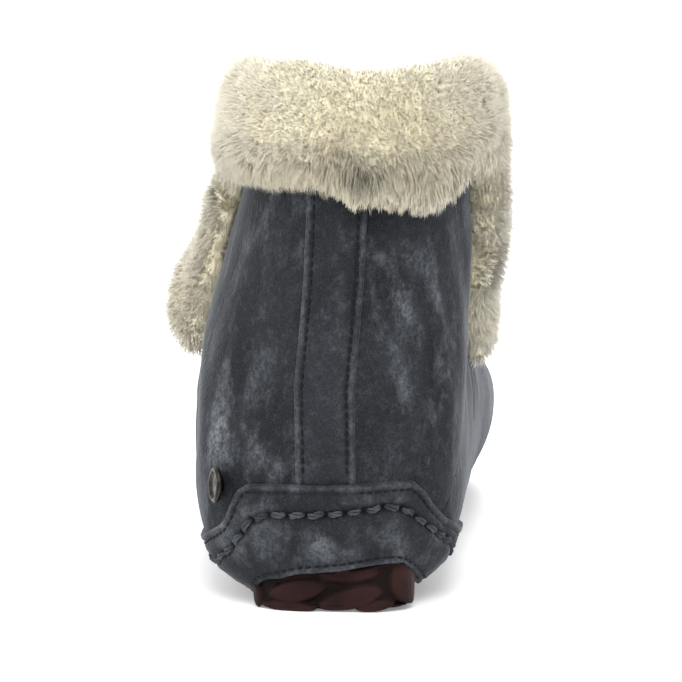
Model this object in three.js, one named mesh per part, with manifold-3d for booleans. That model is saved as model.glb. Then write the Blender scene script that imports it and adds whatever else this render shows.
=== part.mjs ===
// Sheepskin ankle boot, left foot, in millimetres: a moccasin-built suede upper with its wool inside,
// a deep wool cuff turned out round the collar and down both sides of the open throat,
// a heel panel and a back strip laid on the suede, and a thin rubber sole that rolls up behind the heel.
// "s" is the distance forward from the back of the heel and z is the height above the floor.
// The toe points to -y, and +x is the outer side of the left foot.
import * as THREE from "three";
import { mergeVertices } from "three/addons/utils/BufferGeometryUtils.js";
import Module from "manifold-3d";

const wasm = await Module();
wasm.setup();

// ---- driving dimensions ----
const GAP = 0.3; // clearance between pieces that meet
const SKIN = 2.4; // wall of the suede where it turns under the foot
const WALL = 9; // wall of the suede with its wool, round the foot and the shaft
const WOOL_FROM = 4; // height above the feather line where the wool in the wall starts
const WOOL_FULL = 14; // height above it where the wall reaches its full thickness
const MARGIN = 4.5; // width of the suede that rests on the rubber
const CUFF_WOOL = 13.8; // how far the turned-out wool stands proud of the suede
const CUFF_END = 9; // how far the wool bulges past the lower end of each lapel
const THROAT_GAP = 3; // half the gap between the two lapels at the bottom of the throat
const PANEL = 1.6; // how far the heel panel's face stands from the suede
const STRIP = 1.4; // how far the back strip's face stands from the suede
const STRIP_HALF = 9.1; // half the width of the back strip
const FOOTBED = 6.5; // thickness of the insole
const SOLE_SIDE = 4.4; // height of the rubber's visible edge along the sides
const HEEL_ROLL = 8.1; // how much higher the rubber reaches behind the heel
const TOE_SPRING = 9; // lift of the toe's tip
const ARCH = 2.6; // lift of the waist
const RIM_INSET = 0.8; // how far the rubber's rim lies inside the suede's edge
const LUG = 2; // depth of the grooves between the lugs
const STUD_RADIUS = 5.6;

// ---- the last: sections from the toe to above the collar ----
// Each section is a plane across the boot. back: its lowest or rearmost point [s, z], front: its highest
// or foremost point, half: half its width, shift: its middle towards the outer side, widest: where it is
// widest as a share of the way from back to front, low and high: the roundness of its two halves.
const SECTIONS = [
  { back: [262, 28], front: [262, 28], half: 0, shift: -9, widest: 0.45, low: 2.3, high: 2.2 },
  { back: [258.6, 17], front: [259.8, 38.5], half: 14, shift: -8.6, widest: 0.45, low: 2.3, high: 2.2 },
  { back: [251, 10.6], front: [253.2, 44.5], half: 25, shift: -7.4, widest: 0.45, low: 2.4, high: 2.2 },
  { back: [241, 6.6], front: [242.6, 49], half: 34, shift: -5.4, widest: 0.45, low: 2.6, high: 2.2 },
  { back: [227, 2.6], front: [228, 54], half: 41.6, shift: -2.6, widest: 0.5, low: 2.5, high: 2.2 },
  { back: [209, 0], front: [209, 59], half: 47, shift: 0, widest: 0.55, low: 2.4, high: 2.2 },
  { back: [187, -1.5], front: [187, 64.5], half: 49, shift: 1.4, widest: 0.57, low: 2.35, high: 2.2 },
  { back: [164, -1.5], front: [165.5, 70.5], half: 48.2, shift: 1.8, widest: 0.56, low: 2.4, high: 2.2 },
  { back: [140, -1], front: [147, 77.5], half: 46.2, shift: 1.8, widest: 0.53, low: 2.6, high: 2.1 },
  { back: [114, 0], front: [132, 85], half: 44.8, shift: 1.6, widest: 0.51, low: 2.8, high: 2.1 },
  { back: [86, 1], front: [121.5, 92.5], half: 44, shift: 1.4, widest: 0.5, low: 3, high: 2 },
  { back: [60, 1.5], front: [115.5, 100], half: 43.6, shift: 1.4, widest: 0.5, low: 3.1, high: 2 },
  { back: [36, 1.5], front: [112, 107], half: 43.2, shift: 1.4, widest: 0.48, low: 3.2, high: 2 },
  { back: [17, 3.2], front: [110, 113.5], half: 42.2, shift: 1.2, widest: 0.46, low: 3.2, high: 2 },
  { back: [4, 9.6], front: [109, 119.5], half: 41.2, shift: 1.2, widest: 0.45, low: 2.6, high: 2 },
  { back: [0.7, 21], front: [108.3, 125], half: 40.9, shift: 0.4, widest: 0.45, low: 2.35, high: 2 },
  { back: [0, 35], front: [108, 130], half: 40, shift: -1.2, widest: 0.46, low: 2.2, high: 2 },
  { back: [0.6, 52], front: [107.6, 135], half: 38.8, shift: -3, widest: 0.47, low: 2.1, high: 2 },
  { back: [2.6, 72], front: [107.3, 140], half: 37.2, shift: -4.8, widest: 0.48, low: 2, high: 2 },
  { back: [5.5, 94], front: [107, 145.5], half: 35, shift: -6.2, widest: 0.49, low: 2, high: 2 },
  { back: [8.5, 116], front: [107, 150.5], half: 33.2, shift: -7.4, widest: 0.5, low: 2, high: 2 },
  { back: [11, 137], front: [107.5, 156], half: 32.4, shift: -8, widest: 0.5, low: 2, high: 2 },
  { back: [13, 157], front: [108.5, 163], half: 32.4, shift: -8.3, widest: 0.5, low: 2, high: 2 },
  { back: [14.5, 180], front: [110, 180], half: 32.4, shift: -8.4, widest: 0.5, low: 2, high: 2 },
];
const LAST_ROW = SECTIONS.length - 1;
const TOE_ROW = 0.12; // the last is closed by a small flat cap here
const ROW_STEP = 0.02; // step for slopes along the rows and round the sections

// Catmull-Rom value between b and c, with a before them and d after them.
function blend(a, b, c, d, t) {
  const slopeB = (c - a) / 2;
  const slopeC = (d - b) / 2;
  const t2 = t * t;
  const t3 = t2 * t;
  return (2 * t3 - 3 * t2 + 1) * b + (t3 - 2 * t2 + t) * slopeB + (3 * t2 - 2 * t3) * c + (t3 - t2) * slopeC;
}

// The section at a fractional row number.
function sectionAt(row) {
  const i = Math.min(Math.floor(row), LAST_ROW - 1);
  const near = [-1, 0, 1, 2].map((k) => SECTIONS[Math.min(Math.max(i + k, 0), LAST_ROW)]);
  const value = (read) => blend(...near.map(read), row - i);
  return {
    backS: value((r) => r.back[0]),
    backZ: value((r) => r.back[1]),
    frontS: value((r) => r.front[0]),
    frontZ: value((r) => r.front[1]),
    half: Math.max(value((r) => r.half), 0),
    shift: value((r) => r.shift),
    widest: value((r) => r.widest),
    low: value((r) => r.low),
    high: value((r) => r.high),
  };
}

// The suede's outer face. Angle 0 is the heel or the bottom, pi / 2 the outer side, pi the front or top.
function suedePoint(row, angle) {
  const r = sectionAt(row);
  const c = -Math.cos(angle);
  const power = c < 0 ? r.low : r.high;
  const reach = Math.abs(c) ** (2 / power);
  const across = Math.abs(Math.sin(angle)) ** (2 / power) * Math.sign(Math.sin(angle));
  const share = c < 0 ? r.widest * (1 - reach) : r.widest + (1 - r.widest) * reach;
  const s = r.backS + (r.frontS - r.backS) * share;
  const z = r.backZ + (r.frontZ - r.backZ) * share;
  return new THREE.Vector3(r.shift + r.half * across, -s, z);
}

function suedeNormal(row, angle) {
  const at = THREE.MathUtils.clamp(row, TOE_ROW + ROW_STEP, LAST_ROW - ROW_STEP);
  const along = suedePoint(at + ROW_STEP, angle).sub(suedePoint(at - ROW_STEP, angle));
  const around = suedePoint(at, angle + ROW_STEP).sub(suedePoint(at, angle - ROW_STEP));
  return along.cross(around).normalize();
}

const smooth = (x, from, to) => THREE.MathUtils.smoothstep(x, from, to);

// Where a function that grows from below zero to above it crosses zero.
function crossing(f, from, to) {
  let [low, high] = [from, to];
  for (let i = 0; i < 40; i++) {
    const middle = (low + high) / 2;
    if (f(middle) < 0) low = middle;
    else high = middle;
  }
  return (low + high) / 2;
}

// ---- closed solids ----
// A solid of shared points and triangles; triangles that have shrunk to a line are left out.
function solidOf(geometry) {
  const bare = geometry.clone();
  bare.deleteAttribute("normal");
  bare.deleteAttribute("uv");
  const merged = mergeVertices(bare, 1e-4);
  const faces = [];
  const index = merged.index.array;
  for (let i = 0; i < index.length; i += 3) {
    const [a, b, c] = index.slice(i, i + 3);
    if (a !== b && b !== c && c !== a) faces.push(a, b, c);
  }
  const vertProperties = merged.attributes.position.array;
  const solid = new wasm.Manifold(new wasm.Mesh({ numProp: 3, vertProperties, triVerts: Uint32Array.from(faces) }));
  if (solid.volume() > 0) return solid;
  const turned = faces.map((v, i) => (i % 3 === 0 ? v : faces[i % 3 === 1 ? i + 1 : i - 1]));
  return new wasm.Manifold(new wasm.Mesh({ numProp: 3, vertProperties, triVerts: Uint32Array.from(turned) }));
}

function geometryOf(solid) {
  const mesh = solid.getMesh();
  const geometry = new THREE.BufferGeometry();
  geometry.setAttribute("position", new THREE.BufferAttribute(new Float32Array(mesh.vertProperties), 3));
  geometry.setIndex(new THREE.BufferAttribute(new Uint32Array(mesh.triVerts), 1));
  const flat = geometry.toNonIndexed();
  flat.computeVertexNormals();
  return flat;
}

// A closed solid through rings of points; each end is closed by a fan from the middle of its ring.
function skinOf(rings) {
  const around = rings[0].length;
  const middle = (ring) => ring.reduce((sum, p) => sum.add(p), new THREE.Vector3()).divideScalar(around);
  const points = [...rings.flat(), middle(rings[0]), middle(rings.at(-1))];
  const top = (rings.length - 1) * around;
  const faces = [];
  for (let j = 0; j < around; j++) {
    const k = (j + 1) % around;
    for (let a = 0; a < top; a += around) {
      const b = a + around;
      faces.push(a + j, a + k, b + k, a + j, b + k, b + j);
    }
    faces.push(points.length - 2, k, j, points.length - 1, top + j, top + k);
  }
  const geometry = new THREE.BufferGeometry().setFromPoints(points);
  geometry.setIndex(faces);
  return solidOf(geometry);
}

// The boot's own form, grown by offset(point) or shrunk where that is negative.
function form(offset, rowSteps, angleSteps) {
  const rings = Array.from({ length: rowSteps + 1 }, (_, i) => {
    const row = TOE_ROW + ((LAST_ROW - TOE_ROW) * i) / rowSteps;
    return Array.from({ length: angleSteps }, (_, j) => {
      const angle = (2 * Math.PI * j) / angleSteps;
      const point = suedePoint(row, angle);
      const grown = offset(point);
      return point.addScaledVector(suedeNormal(row, angle), grown);
    });
  });
  return skinOf(rings);
}

// A prism across the boot through a side outline of [s, z] points.
function sidePrism(outline) {
  const width = 260;
  const shape = new THREE.Shape(outline.map(([s, z]) => new THREE.Vector2(s, z)));
  const prism = new THREE.ExtrudeGeometry(shape, { depth: width, bevelEnabled: false });
  prism.applyMatrix4(new THREE.Matrix4().set(0, 0, 1, -width / 2, -1, 0, 0, 0, 0, 1, 0, 0, 0, 0, 0, 1));
  return solidOf(prism);
}

// A prism along the boot through a back outline of [x, z] points, between two distances from the heel.
function backPrism(outline, from, to) {
  const shape = new THREE.Shape(outline.map(([x, z]) => new THREE.Vector2(x, z)));
  const prism = new THREE.ExtrudeGeometry(shape, { depth: to - from, bevelEnabled: false });
  prism.applyMatrix4(new THREE.Matrix4().set(1, 0, 0, 0, 0, 0, -1, -from, 0, 1, 0, 0, 0, 0, 0, 1));
  return solidOf(prism);
}

// An upright prism through a plan outline of [x, s] points.
function planPrism(outline, from, to) {
  const shape = new THREE.Shape(outline.map(([x, s]) => new THREE.Vector2(x, -s)));
  const prism = new THREE.ExtrudeGeometry(shape, { depth: to - from, bevelEnabled: false });
  prism.translate(0, 0, from);
  return solidOf(prism);
}

// ---- the fold of the collar, seen from the side: round the back, over the ankle and down to the throat ----
const FOLD = new THREE.CatmullRomCurve3(
  [
    [-40, 150],
    [10, 152],
    [46, 154],
    [74, 150],
    [93, 136],
    [105, 116],
    [116, 98],
  ].map(([s, z]) => new THREE.Vector3(s, z, 0)),
  false,
  "centripetal",
).getSpacedPoints(40);
const THROAT = FOLD.at(-1);

// Distance from the fold, seen from the side: positive below or behind it, negative above or before it.
function belowFold(point) {
  const at = new THREE.Vector3(-point.y, point.z, 0);
  const near = new THREE.Vector3();
  let best = Infinity;
  let side = 1;
  for (let i = 0; i + 1 < FOLD.length; i++) {
    new THREE.Line3(FOLD[i], FOLD[i + 1]).closestPointToPoint(at, true, near);
    const distance = near.distanceTo(at);
    if (distance < best) {
      best = distance;
      const along = FOLD[i + 1].clone().sub(FOLD[i]);
      side = along.cross(at.clone().sub(near)).z > 0 ? -1 : 1;
    }
  }
  return side * best;
}

// How far a point lies past the lower end of the fold, measured along the fold's own direction there.
function pastThroat(point) {
  const along = THROAT.clone().sub(FOLD.at(-3)).normalize();
  return new THREE.Vector3(-point.y, point.z, 0).sub(THROAT).dot(along);
}

// Everything above the fold, with the fold moved out by rise; before the throat it clears the instep.
function aboveFold(rise) {
  const line = FOLD.map((p, i) => {
    const along = FOLD[Math.min(i + 1, FOLD.length - 1)].clone().sub(FOLD[Math.max(i - 1, 0)]).normalize();
    return [p.x - along.y * rise, p.y + along.x * rise];
  });
  const [s, z] = line.at(-1);
  return sidePrism([...line, [s + 14, z - 4], [s + 60, z - 4], [s + 60, 240], [line[0][0], 240]]);
}

// ---- the feather line, where suede and rubber meet ----
// Height of the tread above the floor: flat under heel and ball, lifted at the waist and the toe.
function treadLift(s) {
  const waist = ARCH * smooth(s, 66, 92) * (1 - smooth(s, 118, 146));
  const toe = TOE_SPRING * (Math.max(s - 196, 0) / 58) ** 2;
  return waist + toe;
}

// Height of the feather line: low along the sides, rolled up behind the heel and a little over the toe.
function featherHeight(s) {
  const heel = HEEL_ROLL * Math.exp(-((Math.max(s - 2.5, 0) / 11) ** 2));
  const toe = 1.6 * smooth(s, 236, 253);
  return SOLE_SIDE + heel + toe + treadLift(s);
}

// Height of a surface point above the feather line.
const aboveFeather = (point) => point.z - featherHeight(-point.y);

// Everything below the feather line moved up by rise.
function belowFeather(rise) {
  const reach = Array.from({ length: 81 }, (_, i) => -20 + 3.6 * i);
  const line = reach.map((s) => [s, featherHeight(s) + rise]);
  return sidePrism([...line, [line.at(-1)[0], -40], [line[0][0], -40]]);
}

// Pairs of points on the feather line, outer and inner side, from the toe to the heel.
function featherPairs(steps) {
  const toe = crossing((row) => -aboveFeather(suedePoint(row, 0)), 0.4, 3);
  const heel = crossing((row) => aboveFeather(suedePoint(row, 0)), 11, 16);
  return Array.from({ length: steps + 1 }, (_, k) => {
    const row = toe + ((heel - toe) * (1 - Math.cos((Math.PI * k) / steps))) / 2;
    return [1, -1].map((side) => {
      const angle = crossing((a) => aboveFeather(suedePoint(row, side * a)), 0, Math.PI / 2);
      const tip = k === 0 || k === steps;
      return suedePoint(row, tip ? 0 : side * angle).setZ(0);
    });
  });
}

// ---- outsole ----
const SOLE_ROWS = 40;
const FACET_SLACK = 0.12; // the sole's upper face lies this much lower, so that its flat facets stay clear
const SOLE_COLUMNS = [0, 0.03, 0.1, 0.3, 0.7, 0.9, 0.97, 1];

// Width of the rounded flank between the flat tread and the rim: steep behind the heel, wide at the toe.
function flankWidth(s) {
  return 3.4 - 2.3 * Math.exp(-((Math.max(s - 2.5, 0) / 8) ** 2)) + 4 * smooth(s, 222, 252);
}

// The sole's outline set in from the suede's edge: pairs of points from the toe to the heel.
function soleOutline(inset) {
  const pairs = featherPairs(SOLE_ROWS);
  const loop = [...pairs.map((p) => p[0]), ...pairs.map((p) => p[1]).reverse()].filter(
    (p, i, all) => i === 0 || p.distanceTo(all[i - 1]) > 1e-6,
  );
  loop.pop();
  const moved = loop.map((p, i) => {
    const next = loop[(i + 1) % loop.length];
    const back = loop[(i + loop.length - 1) % loop.length];
    const run = next.clone().sub(back).normalize();
    return p.clone().add(new THREE.Vector3(-run.y, run.x, 0).multiplyScalar(inset));
  });
  return pairs.map((_, k) => [moved[k], moved[(moved.length - k) % moved.length]]);
}

// The sole's closed form: a tread with rounded flanks that meet the flat-across upper face at the rim.
function soleForm(inset, groove, drop) {
  const pairs = soleOutline(inset);
  const rim = [...pairs.map((p) => p[0]), ...pairs.map((p) => p[1]).reverse()];
  const near = new THREE.Vector3();
  const insideBy = (p) =>
    Math.min(
      ...rim.map((q, i) => {
        new THREE.Line3(q, rim[(i + 1) % rim.length]).closestPointToPoint(p, true, near);
        return near.distanceTo(p);
      }),
    );
  const points = [];
  const faces = [];
  const columns = SOLE_COLUMNS.length;
  for (const [outer, inner] of pairs) {
    for (const share of SOLE_COLUMNS) {
      const p = outer.clone().lerp(inner, share);
      const top = featherHeight(-p.y) - drop;
      const low = treadLift(-p.y) + groove;
      const slope = Math.max(1 - insideBy(p) / flankWidth(-p.y), 0);
      points.push(p.setZ(top - (top - low) * Math.sqrt(1 - slope * slope)));
    }
    const [a, b] = [outer, inner].map((q) => q.clone().setZ(featherHeight(-q.y) - drop));
    points.push(a, b);
  }
  const row = columns + 2;
  for (let k = 0; k + 1 < pairs.length; k++) {
    const at = k * row;
    for (let j = 0; j + 1 < columns; j++) {
      faces.push(at + j, at + j + 1, at + row + j + 1, at + j, at + row + j + 1, at + row + j);
    }
    const [a, b] = [at + columns, at + columns + 1];
    faces.push(a, b + row, b, a, a + row, b + row);
  }
  const geometry = new THREE.BufferGeometry().setFromPoints(points);
  geometry.setIndex(faces);
  return solidOf(geometry);
}

// A leaf-shaped outline round a middle point, pointed at both ends and turned by tilt degrees.
function leaf({ x, up, length, width, tilt }) {
  const turn = THREE.MathUtils.degToRad(tilt);
  const side = [0, 0.25, 0.75];
  const half = side.map((t) => [length * (t - 0.5), (width / 2) * Math.sin(Math.PI * t) ** 0.7 + 0.4]);
  const loop = [...half, ...half.map(([a, b]) => [-a, -b])];
  return loop.map(([a, b]) => [x + a * Math.cos(turn) - b * Math.sin(turn), up + a * Math.sin(turn) + b * Math.cos(turn)]);
}

// Lugs on the rolled-up face behind the heel, seen from behind.
const HEEL_LUGS = [
  { x: 9.6, up: 6.3, length: 18, width: 6, tilt: -12 },
  { x: 13, up: 1.2, length: 15, width: 3.2, tilt: 4 },
  { x: -6, up: 4, length: 20, width: 5.6, tilt: -16 },
  { x: -6, up: 10.6, length: 16, width: 4, tilt: -6 },
  { x: -22.4, up: 7, length: 11, width: 6.4, tilt: 58 },
];
const LUG_ROW = 15; // spacing of the rows of lugs along the tread
const LUG_ROWS = 16;
const LUG_TILT = 24; // the lugs point forward towards the middle

function treadLugs() {
  const outline = soleOutline(0);
  const rows = Array.from({ length: LUG_ROWS }, (_, i) => 19 + LUG_ROW * i);
  return rows.flatMap((s, i) => {
    const [outer, inner] = outline.reduce((best, pair) =>
      Math.abs(pair[0].y + s) < Math.abs(best[0].y + s) ? pair : best,
    );
    const middle = (outer.x + inner.x) / 2 + (i % 2 ? 4 : -4);
    return [
      { x: (outer.x + middle) / 2, up: s, length: outer.x - middle, width: 10.6, tilt: -LUG_TILT },
      { x: (inner.x + middle) / 2, up: s, length: middle - inner.x, width: 10.6, tilt: LUG_TILT },
    ];
  });
}

function makeOutsole() {
  const base = soleForm(RIM_INSET + 1.2, LUG, FACET_SLACK);
  const pads = [
    ...HEEL_LUGS.map((lug) => backPrism(leaf(lug), -8, 12.6)),
    ...treadLugs().map((lug) => planPrism(leaf(lug), -2, 30)),
  ];
  const whole = soleForm(RIM_INSET, 0, 1);
  const pieces = pads.reduce((sole, pad) => sole.add(whole.intersect(pad)), base).decompose();
  return pieces.reduce((largest, piece) => (piece.volume() > largest.volume() ? piece : largest));
}

// ---- upper, insole and cuff ----
const wallAt = (point) => SKIN + (WALL - SKIN) * smooth(aboveFeather(point), WOOL_FROM, WOOL_FULL);
const FORM_STEPS = [34, 32]; // rows and corners of the suede's face
const CAVITY_STEPS = [23, 18];
const outerForm = form(() => 0, ...FORM_STEPS);
const cavity = form((p) => -wallAt(p), ...CAVITY_STEPS);

// The opening underneath, which the outsole closes.
function underOpening() {
  const pairs = soleOutline(MARGIN);
  const loop = [...pairs.slice(0, -1).map((p) => p[0]), ...pairs.slice(1).map((p) => p[1]).reverse()];
  return planPrism(loop.map((p) => [p.x, -p.y]), -5, 40).intersect(belowFeather(MARGIN / 2));
}

function makeUpper() {
  const wall = outerForm.subtract(cavity).subtract(underOpening());
  return wall.subtract(aboveFold(0)).subtract(belowFeather(GAP));
}

function makeInsole() {
  const inside = form((p) => -wallAt(p) - GAP, ...CAVITY_STEPS);
  return inside.subtract(belowFeather(GAP)).intersect(belowFeather(GAP + FOOTBED));
}

// A step over the suede's face in (row, angle), along a direction in space that is kept level with the face.
function walk([row, angle], direction, distance) {
  const steps = Math.max(Math.ceil(Math.abs(distance) / 2.5), 1);
  const heading = direction.clone();
  for (let i = 0; i < steps; i++) {
    const normal = suedeNormal(row, angle);
    heading.addScaledVector(normal, -heading.dot(normal)).normalize();
    const along = suedePoint(row + ROW_STEP, angle).sub(suedePoint(row - ROW_STEP, angle)).divideScalar(2 * ROW_STEP);
    const around = suedePoint(row, angle + ROW_STEP).sub(suedePoint(row, angle - ROW_STEP)).divideScalar(2 * ROW_STEP);
    const [aa, ab, bb] = [along.dot(along), along.dot(around), around.dot(around)];
    const move = heading.clone().multiplyScalar(distance / steps);
    const [ma, mb] = [move.dot(along), move.dot(around)];
    const determinant = aa * bb - ab * ab;
    row = Math.min(row + (ma * bb - mb * ab) / determinant, LAST_ROW - 2 * ROW_STEP);
    angle += (mb * aa - ma * ab) / determinant;
  }
  return [row, angle];
}

// The fold on the suede's face, from the throat's inner side, round the back, to its outer side.
function foldStations(steps) {
  const foldAt = (angle) => [crossing((row) => -belowFold(suedePoint(row, angle)), 9.4, 22.9), angle];
  const last = crossing((angle) => pastThroat(suedePoint(...foldAt(angle))) + 5, Math.PI / 2, Math.PI);
  const side = Array.from({ length: 200 }, (_, i) => foldAt((last * i) / 199));
  const lengths = [0];
  for (let i = 1; i < side.length; i++) {
    lengths.push(lengths.at(-1) + suedePoint(...side[i]).distanceTo(suedePoint(...side[i - 1])));
  }
  return Array.from({ length: 2 * steps + 1 }, (_, k) => {
    const want = (Math.abs(k - steps) / steps) * lengths.at(-1);
    const i = lengths.findIndex((length) => length >= want - 1e-9);
    const [row, angle] = side[i];
    return k < steps ? [row, -angle] : [row, angle];
  });
}

// The cuff's section. down: from the fold over the suede, as a share of the drop, or of the rise where it
// is negative. out: height above the suede, as a share of the wool's depth.
const CUFF_SECTION = [
  { down: 0.1, out: -0.85 },
  { down: -0.55, out: -0.75 },
  { down: -0.9, out: -0.5 },
  { down: -1, out: -0.1 },
  { down: -0.88, out: 0.34 },
  { down: -0.48, out: 0.7 },
  { down: 0.05, out: 0.92 },
  { down: 0.28, out: 1 },
  { down: 0.52, out: 1 },
  { down: 0.73, out: 0.92 },
  { down: 0.89, out: 0.7 },
  { down: 1, out: 0.32 },
  { down: 0.98, out: -0.08 },
  { down: 0.7, out: -0.15 },
  { down: 0.35, out: -0.15 },
];
const CUFF_MIDDLE = { down: 0.36, out: 0.3 };
const CUFF_STEPS = 19; // stations from the middle of the back to the end of each lapel

// How the cuff changes from the middle of the back (0) to the end of a lapel (1), on its outer and inner
// sides. rise: how far the wool stands above the fold. drop: how far it hangs from the fold. depth: a share
// of the wool's depth behind the heel.
const CUFF_COURSE = [
  { along: 0, rise: 16, outer: { drop: 29, depth: 1 }, inner: { drop: 29, depth: 1 } },
  { along: 0.45, rise: 10.5, outer: { drop: 29, depth: 1 }, inner: { drop: 31, depth: 1 } },
  { along: 0.66, rise: 9, outer: { drop: 31, depth: 0.7 }, inner: { drop: 45, depth: 1.12 } },
  { along: 0.8, rise: 9, outer: { drop: 38, depth: 0.95 }, inner: { drop: 55, depth: 1.32 } },
  { along: 1, rise: 9, outer: { drop: 57, depth: 1.6 }, inner: { drop: 58, depth: 1.1 } },
];

function cuffCourse(share, side) {
  const along = Math.abs(share);
  const i = Math.max(CUFF_COURSE.findIndex((row) => row.along >= along), 1);
  const [before, after] = [CUFF_COURSE[i - 1], CUFF_COURSE[i]];
  const t = smooth(along, before.along, after.along);
  const [from, to] = side < 0 ? [before.inner, after.inner] : [before.outer, after.outer];
  const between = (a, b) => a + (b - a) * t;
  return {
    rise: between(before.rise, after.rise),
    drop: between(from.drop, to.drop),
    depth: between(from.depth, to.depth),
  };
}

// One ring of the cuff round a station on the fold; full shrinks it to the rounded ends of the lapels.
function cuffRing(station, along, share, full) {
  const course = cuffCourse(share, station[1]);
  const depth = CUFF_WOOL * course.depth;
  const normal = suedeNormal(...station);
  const down = normal.clone().cross(along).normalize();
  const side = Math.sign(station[1]);
  const centre = sectionAt(station[0]).shift;
  return CUFF_SECTION.map((corner) => {
    const reach = CUFF_MIDDLE.down + (corner.down - CUFF_MIDDLE.down) * full;
    const out = CUFF_MIDDLE.out + (corner.out - CUFF_MIDDLE.out) * full;
    const place = walk(station, down, reach * (reach < 0 ? course.rise : course.drop));
    const point = suedePoint(...place).addScaledVector(suedeNormal(...place), out * depth);
    if (Math.abs(station[1]) > Math.PI / 2) point.x = centre + side * Math.max(side * (point.x - centre), THROAT_GAP);
    return point;
  });
}

function makeCuff() {
  const stations = foldStations(CUFF_STEPS);
  const last = stations.length - 1;
  const alongAt = (k) => {
    const next = suedePoint(...stations[Math.min(k + 1, last)]);
    return next.sub(suedePoint(...stations[Math.max(k - 1, 0)])).normalize();
  };
  const rings = stations.map((station, k) => cuffRing(station, alongAt(k), k / CUFF_STEPS - 1, 1));
  for (const share of [0.35, 0.65, 0.87, 0.985]) {
    const full = Math.sqrt(1 - share * share);
    const inner = walk(stations[0], alongAt(0), -share * CUFF_END);
    const outer = walk(stations[last], alongAt(last), share * CUFF_END);
    rings.unshift(cuffRing(inner, alongAt(0), -1, full));
    rings.push(cuffRing(outer, alongAt(last), 1, full));
  }
  const suede = form(() => GAP, ...FORM_STEPS).subtract(aboveFold(GAP));
  return skinOf(rings).subtract(suede).subtract(cavity);
}

// ---- overlays laid on the suede ----
function overlay(thickness, region) {
  const outer = form(() => thickness, ...FORM_STEPS);
  const inner = form(() => GAP, ...FORM_STEPS);
  return outer.subtract(inner).intersect(region).subtract(belowFeather(GAP));
}

// The heel panel's outline from behind: level over the heel, dropping to a low band on each side.
const PANEL_END = 58; // how far forward the panel's band reaches
const PANEL_OUTLINE = [
  [70, -20],
  [70, 16.8],
  [46, 17.3],
  [39, 19.4],
  [35, 22.9],
  [31.5, 26.5],
  [28.6, 33.7],
  [25.5, 38.2],
  [0, 39.6],
  [-25.5, 40.2],
  [-28.4, 36.2],
  [-31, 30.6],
  [-34, 26.4],
  [-39, 21.6],
  [-46, 19.6],
  [-70, 19],
  [-70, -20],
];

function makeHeelPanel() {
  return overlay(PANEL, backPrism(PANEL_OUTLINE, -20, PANEL_END));
}

// Middle of the back strip: it leans with the shaft.
const stripMiddle = (z) => 1 - 2.6 * smooth(z, 50, 125);
const STRIP_FOOT = 40.6;
const STRIP_TOP = 143;

function stripOutline(grow) {
  const heights = Array.from({ length: 7 }, (_, i) => STRIP_FOOT + ((STRIP_TOP - STRIP_FOOT) * i) / 6);
  const edge = (side) => heights.map((z) => [stripMiddle(z) + side * (STRIP_HALF + grow), z]);
  const outline = [...edge(1), ...edge(-1).reverse()];
  return outline;
}

function makeBackStrip() {
  return overlay(STRIP, backPrism(stripOutline(0), -20, 40));
}

// ---- side stud: a plain rimmed disc lying on the suede at the outer side of the heel ----
const STUD_Z = 35.8;
const STUD_S = 17.5;
const STUD_TILT = 0.5; // how far its face turns from the suede towards the outer side

function makeStud() {
  const profile = [
    [0, 0],
    [STUD_RADIUS - 0.5, 0],
    [STUD_RADIUS, 0.5],
    [STUD_RADIUS, 0.9],
    [STUD_RADIUS - 0.5, 1.4],
    [STUD_RADIUS - 1.3, 1.4],
    [STUD_RADIUS - 1.8, 0.95],
    [0, 1.15],
  ].map(([r, z]) => new THREE.Vector2(r, z));
  const disc = new THREE.LatheGeometry(profile, 20);
  let best = { miss: Infinity };
  for (let row = 11; row < 17; row += 0.05) {
    for (let angle = 0.2; angle < 1.6; angle += 0.02) {
      const point = suedePoint(row, angle);
      const miss = Math.hypot(-point.y - STUD_S, point.z - STUD_Z);
      if (miss < best.miss) best = { miss, point, normal: suedeNormal(row, angle) };
    }
  }
  const mesh = new THREE.Mesh(disc);
  const facing = best.normal.clone().add(new THREE.Vector3(STUD_TILT, 0, 0)).normalize();
  mesh.quaternion.setFromUnitVectors(new THREE.Vector3(0, 1, 0), facing);
  const clear = GAP + STUD_RADIUS * Math.sqrt(1 - facing.dot(best.normal) ** 2);
  mesh.position.copy(best.point).addScaledVector(best.normal, clear);
  return mesh;
}

// ---- the boot ----
const suede = { color: 0x4a4d52, roughness: 0.95, metalness: 0 };
const FINISH = {
  outsole: { color: 0x2a1d1c, roughness: 0.7, metalness: 0 },
  insole: { color: 0xd9ccb0, roughness: 1, metalness: 0 },
  upper: suede,
  heel_panel: { ...suede, color: 0x505358 },
  back_strip: { ...suede, color: 0x53565c },
  fur_cuff: { color: 0xe4dcc4, roughness: 1, metalness: 0 },
  side_stud: { color: 0x58585a, roughness: 0.35, metalness: 1 },
};

const strip = makeBackStrip();
const stripRoom = form(() => STRIP + GAP, ...FORM_STEPS).intersect(backPrism(stripOutline(GAP), -20, 40));
const solids = {
  outsole: makeOutsole(),
  insole: makeInsole(),
  upper: makeUpper(),
  heel_panel: makeHeelPanel(),
  back_strip: strip,
  fur_cuff: makeCuff().subtract(stripRoom),
};

const group = new THREE.Group();
for (const [name, solid] of Object.entries(solids)) {
  const mesh = new THREE.Mesh(geometryOf(solid), new THREE.MeshStandardMaterial(FINISH[name]));
  mesh.name = name;
  group.add(mesh);
}
const stud = makeStud();
stud.name = "side_stud";
stud.material = new THREE.MeshStandardMaterial(FINISH.side_stud);
group.add(stud);

// The origin is the middle of the boot's box, on the floor.
const box = new THREE.Box3().setFromObject(group);
const middle = box.getCenter(new THREE.Vector3());
group.position.set(-middle.x, -middle.y, -box.min.z);

export default group;
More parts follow.
